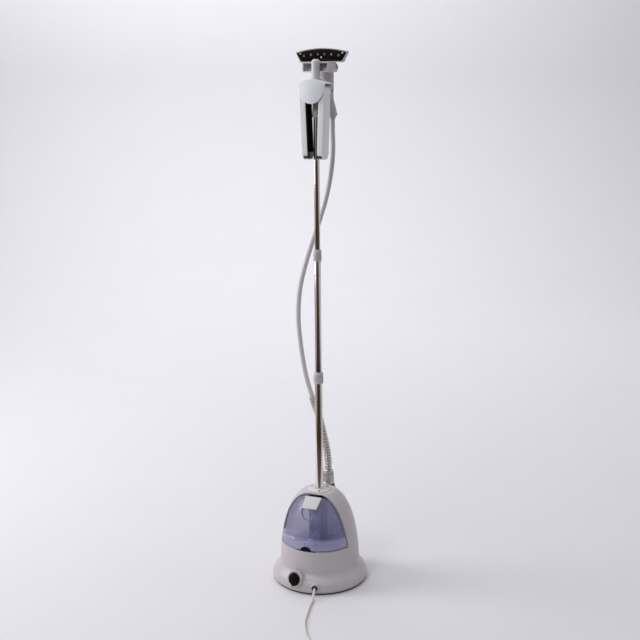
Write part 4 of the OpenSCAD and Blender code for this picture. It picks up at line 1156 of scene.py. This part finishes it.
def make_steam_plate():
    """Boat-shaped gloss plate with rounded tips, a rolled rim and six steam holes."""
    outline = [(PLATE_HALF_W * i / 7, PLATE_Z + PLATE_RISE + PLATE_ARCH * (1 - (i / 7) ** 2))
               for i in range(-7, 8)]
    outline += [(PLATE_FOOT_W, PLATE_Z), (-PLATE_FOOT_W, PLATE_Z)]
    bm = bmesh.new()
    verts = [bm.verts.new((x * MM, (PLATE_FACE_Y + PLATE_T) * MM, z * MM)) for x, z in outline]
    face = bm.faces.new(verts)
    grown = bmesh.ops.extrude_face_region(bm, geom=[face])["geom"]
    fresh = [g for g in grown if isinstance(g, bmesh.types.BMVert)]
    bmesh.ops.translate(bm, vec=(0, -PLATE_T * MM, 0), verts=fresh)
    bmesh.ops.recalc_face_normals(bm, faces=bm.faces[:])
    corners = [e for e in bm.edges if abs((e.verts[0].co - e.verts[1].co).normalized().y) > 0.9
               and e.calc_face_angle(0) > math.radians(20)]
    bmesh.ops.bevel(bm, geom=corners, offset=7 * MM, offset_type="OFFSET", affect="EDGES", segments=6,
                    profile=0.5, material=-1, clamp_overlap=True)
    front_rim = [e for e in bm.edges if all(v.co.y < (PLATE_FACE_Y + 0.01) * MM for v in e.verts)
                 and e.calc_face_angle(0) > math.radians(50)]
    bmesh.ops.bevel(bm, geom=front_rim, offset=1.1 * MM, offset_type="OFFSET", affect="EDGES", segments=4,
                    profile=0.5, material=-1, clamp_overlap=True)
    for x in HOLE_X:
        drill = bmesh.new()
        bmesh.ops.create_cone(drill, cap_ends=True, segments=32, radius1=2.2 * MM, radius2=2.2 * MM,
                              depth=12 * MM)
        z = PLATE_Z + 19.3 - 3.6 * (x / 51) ** 2
        bmesh.ops.transform(drill, matrix=facing_front(x, z), verts=drill.verts[:])
        bm = carved(bm, drill)
    return finish_piece(bm, "steam_face", "steam_head", "black_gloss", ["steam_plate"], 40)


def make_steam_head():
    cad_piece("head_housing", 0.9, segments=3)
    make_steam_plate()
    eyelets = []
    for x in HOLE_X:
        z = PLATE_Z + 19.3 - 3.6 * (x / 51) ** 2
        ring = [(1.5, -3.6), (2.15, -3.6), (2.15, -0.1), (2.7, 0.0), (2.9, 0.25), (2.6, 0.5), (2.1, 0.45),
                (1.6, -0.1)]
        eyelets.append(turned(closed(ring), 32, facing_front(x, z)))
    finish_piece(joined(eyelets), "steam_vents", "steam_head", "silver_metal")
    screws = [cross_screw(2.9, 1.2, facing_front(x, PLATE_Z + z)) for x, z in PLATE_SCREWS]
    finish_piece(joined(screws), "plate_screw_heads", "steam_head", "silver_metal", ["plate_screws"])
    cad_piece("handle_front", 1.2, segments=3)
    cad_piece("handle_back", 1.2, segments=3)
    finish_piece(soft_box((25, 12.5, 20.4), (5, 62.4, 1430), 6.0, 6), "steam_trigger", "handle_button",
                 "black_gloss", ["handle_button"])
    cad_piece("hose_cuff", 0.8, slot="head_grey", segments=3)


# ---------------------------------------------------------------- the rest of the CAD parts

ROUNDED = {"bottom_plate": 0.5, "foot_pads": 0.5, "bay_liner": 0.6, "mast_socket": 0.6, "tank_cap": 0.5,
           "tank_latch": 0.8, "valve_seat": 0.4, "rotary_switch": 0.6, "boiler_body": 1.0,
           "boiler_cover": 0.8, "hose_port": 0.4, "arm_pins": 0.5, "tank_seal": 0.3,
           "indicator_lamp": 0.5, "thermal_cutouts": 0.5}

make_base_shell()
make_knob_boss()
make_dial_marks()
make_knob()
make_top_cap()
make_tank()
make_tank_handle()
make_coupling()
make_mast()
make_collar("collar_low", "lower_collar", "lower_collar", 28, 25, 596, 22, 19)
make_collar("collar_high", "upper_collar", "upper_collar", 23, 20.5, 952, 19, 16)
make_hanger()
make_steam_head()
for rounded_node, rounded_radius in ROUNDED.items():
    cad_piece(rounded_node, rounded_radius)

for node_name, node_object in CAD_NODES.items():
    node_object.data.materials.clear()
    node_object.data.materials.append(FINISH[SLOT_OF[node_name]])
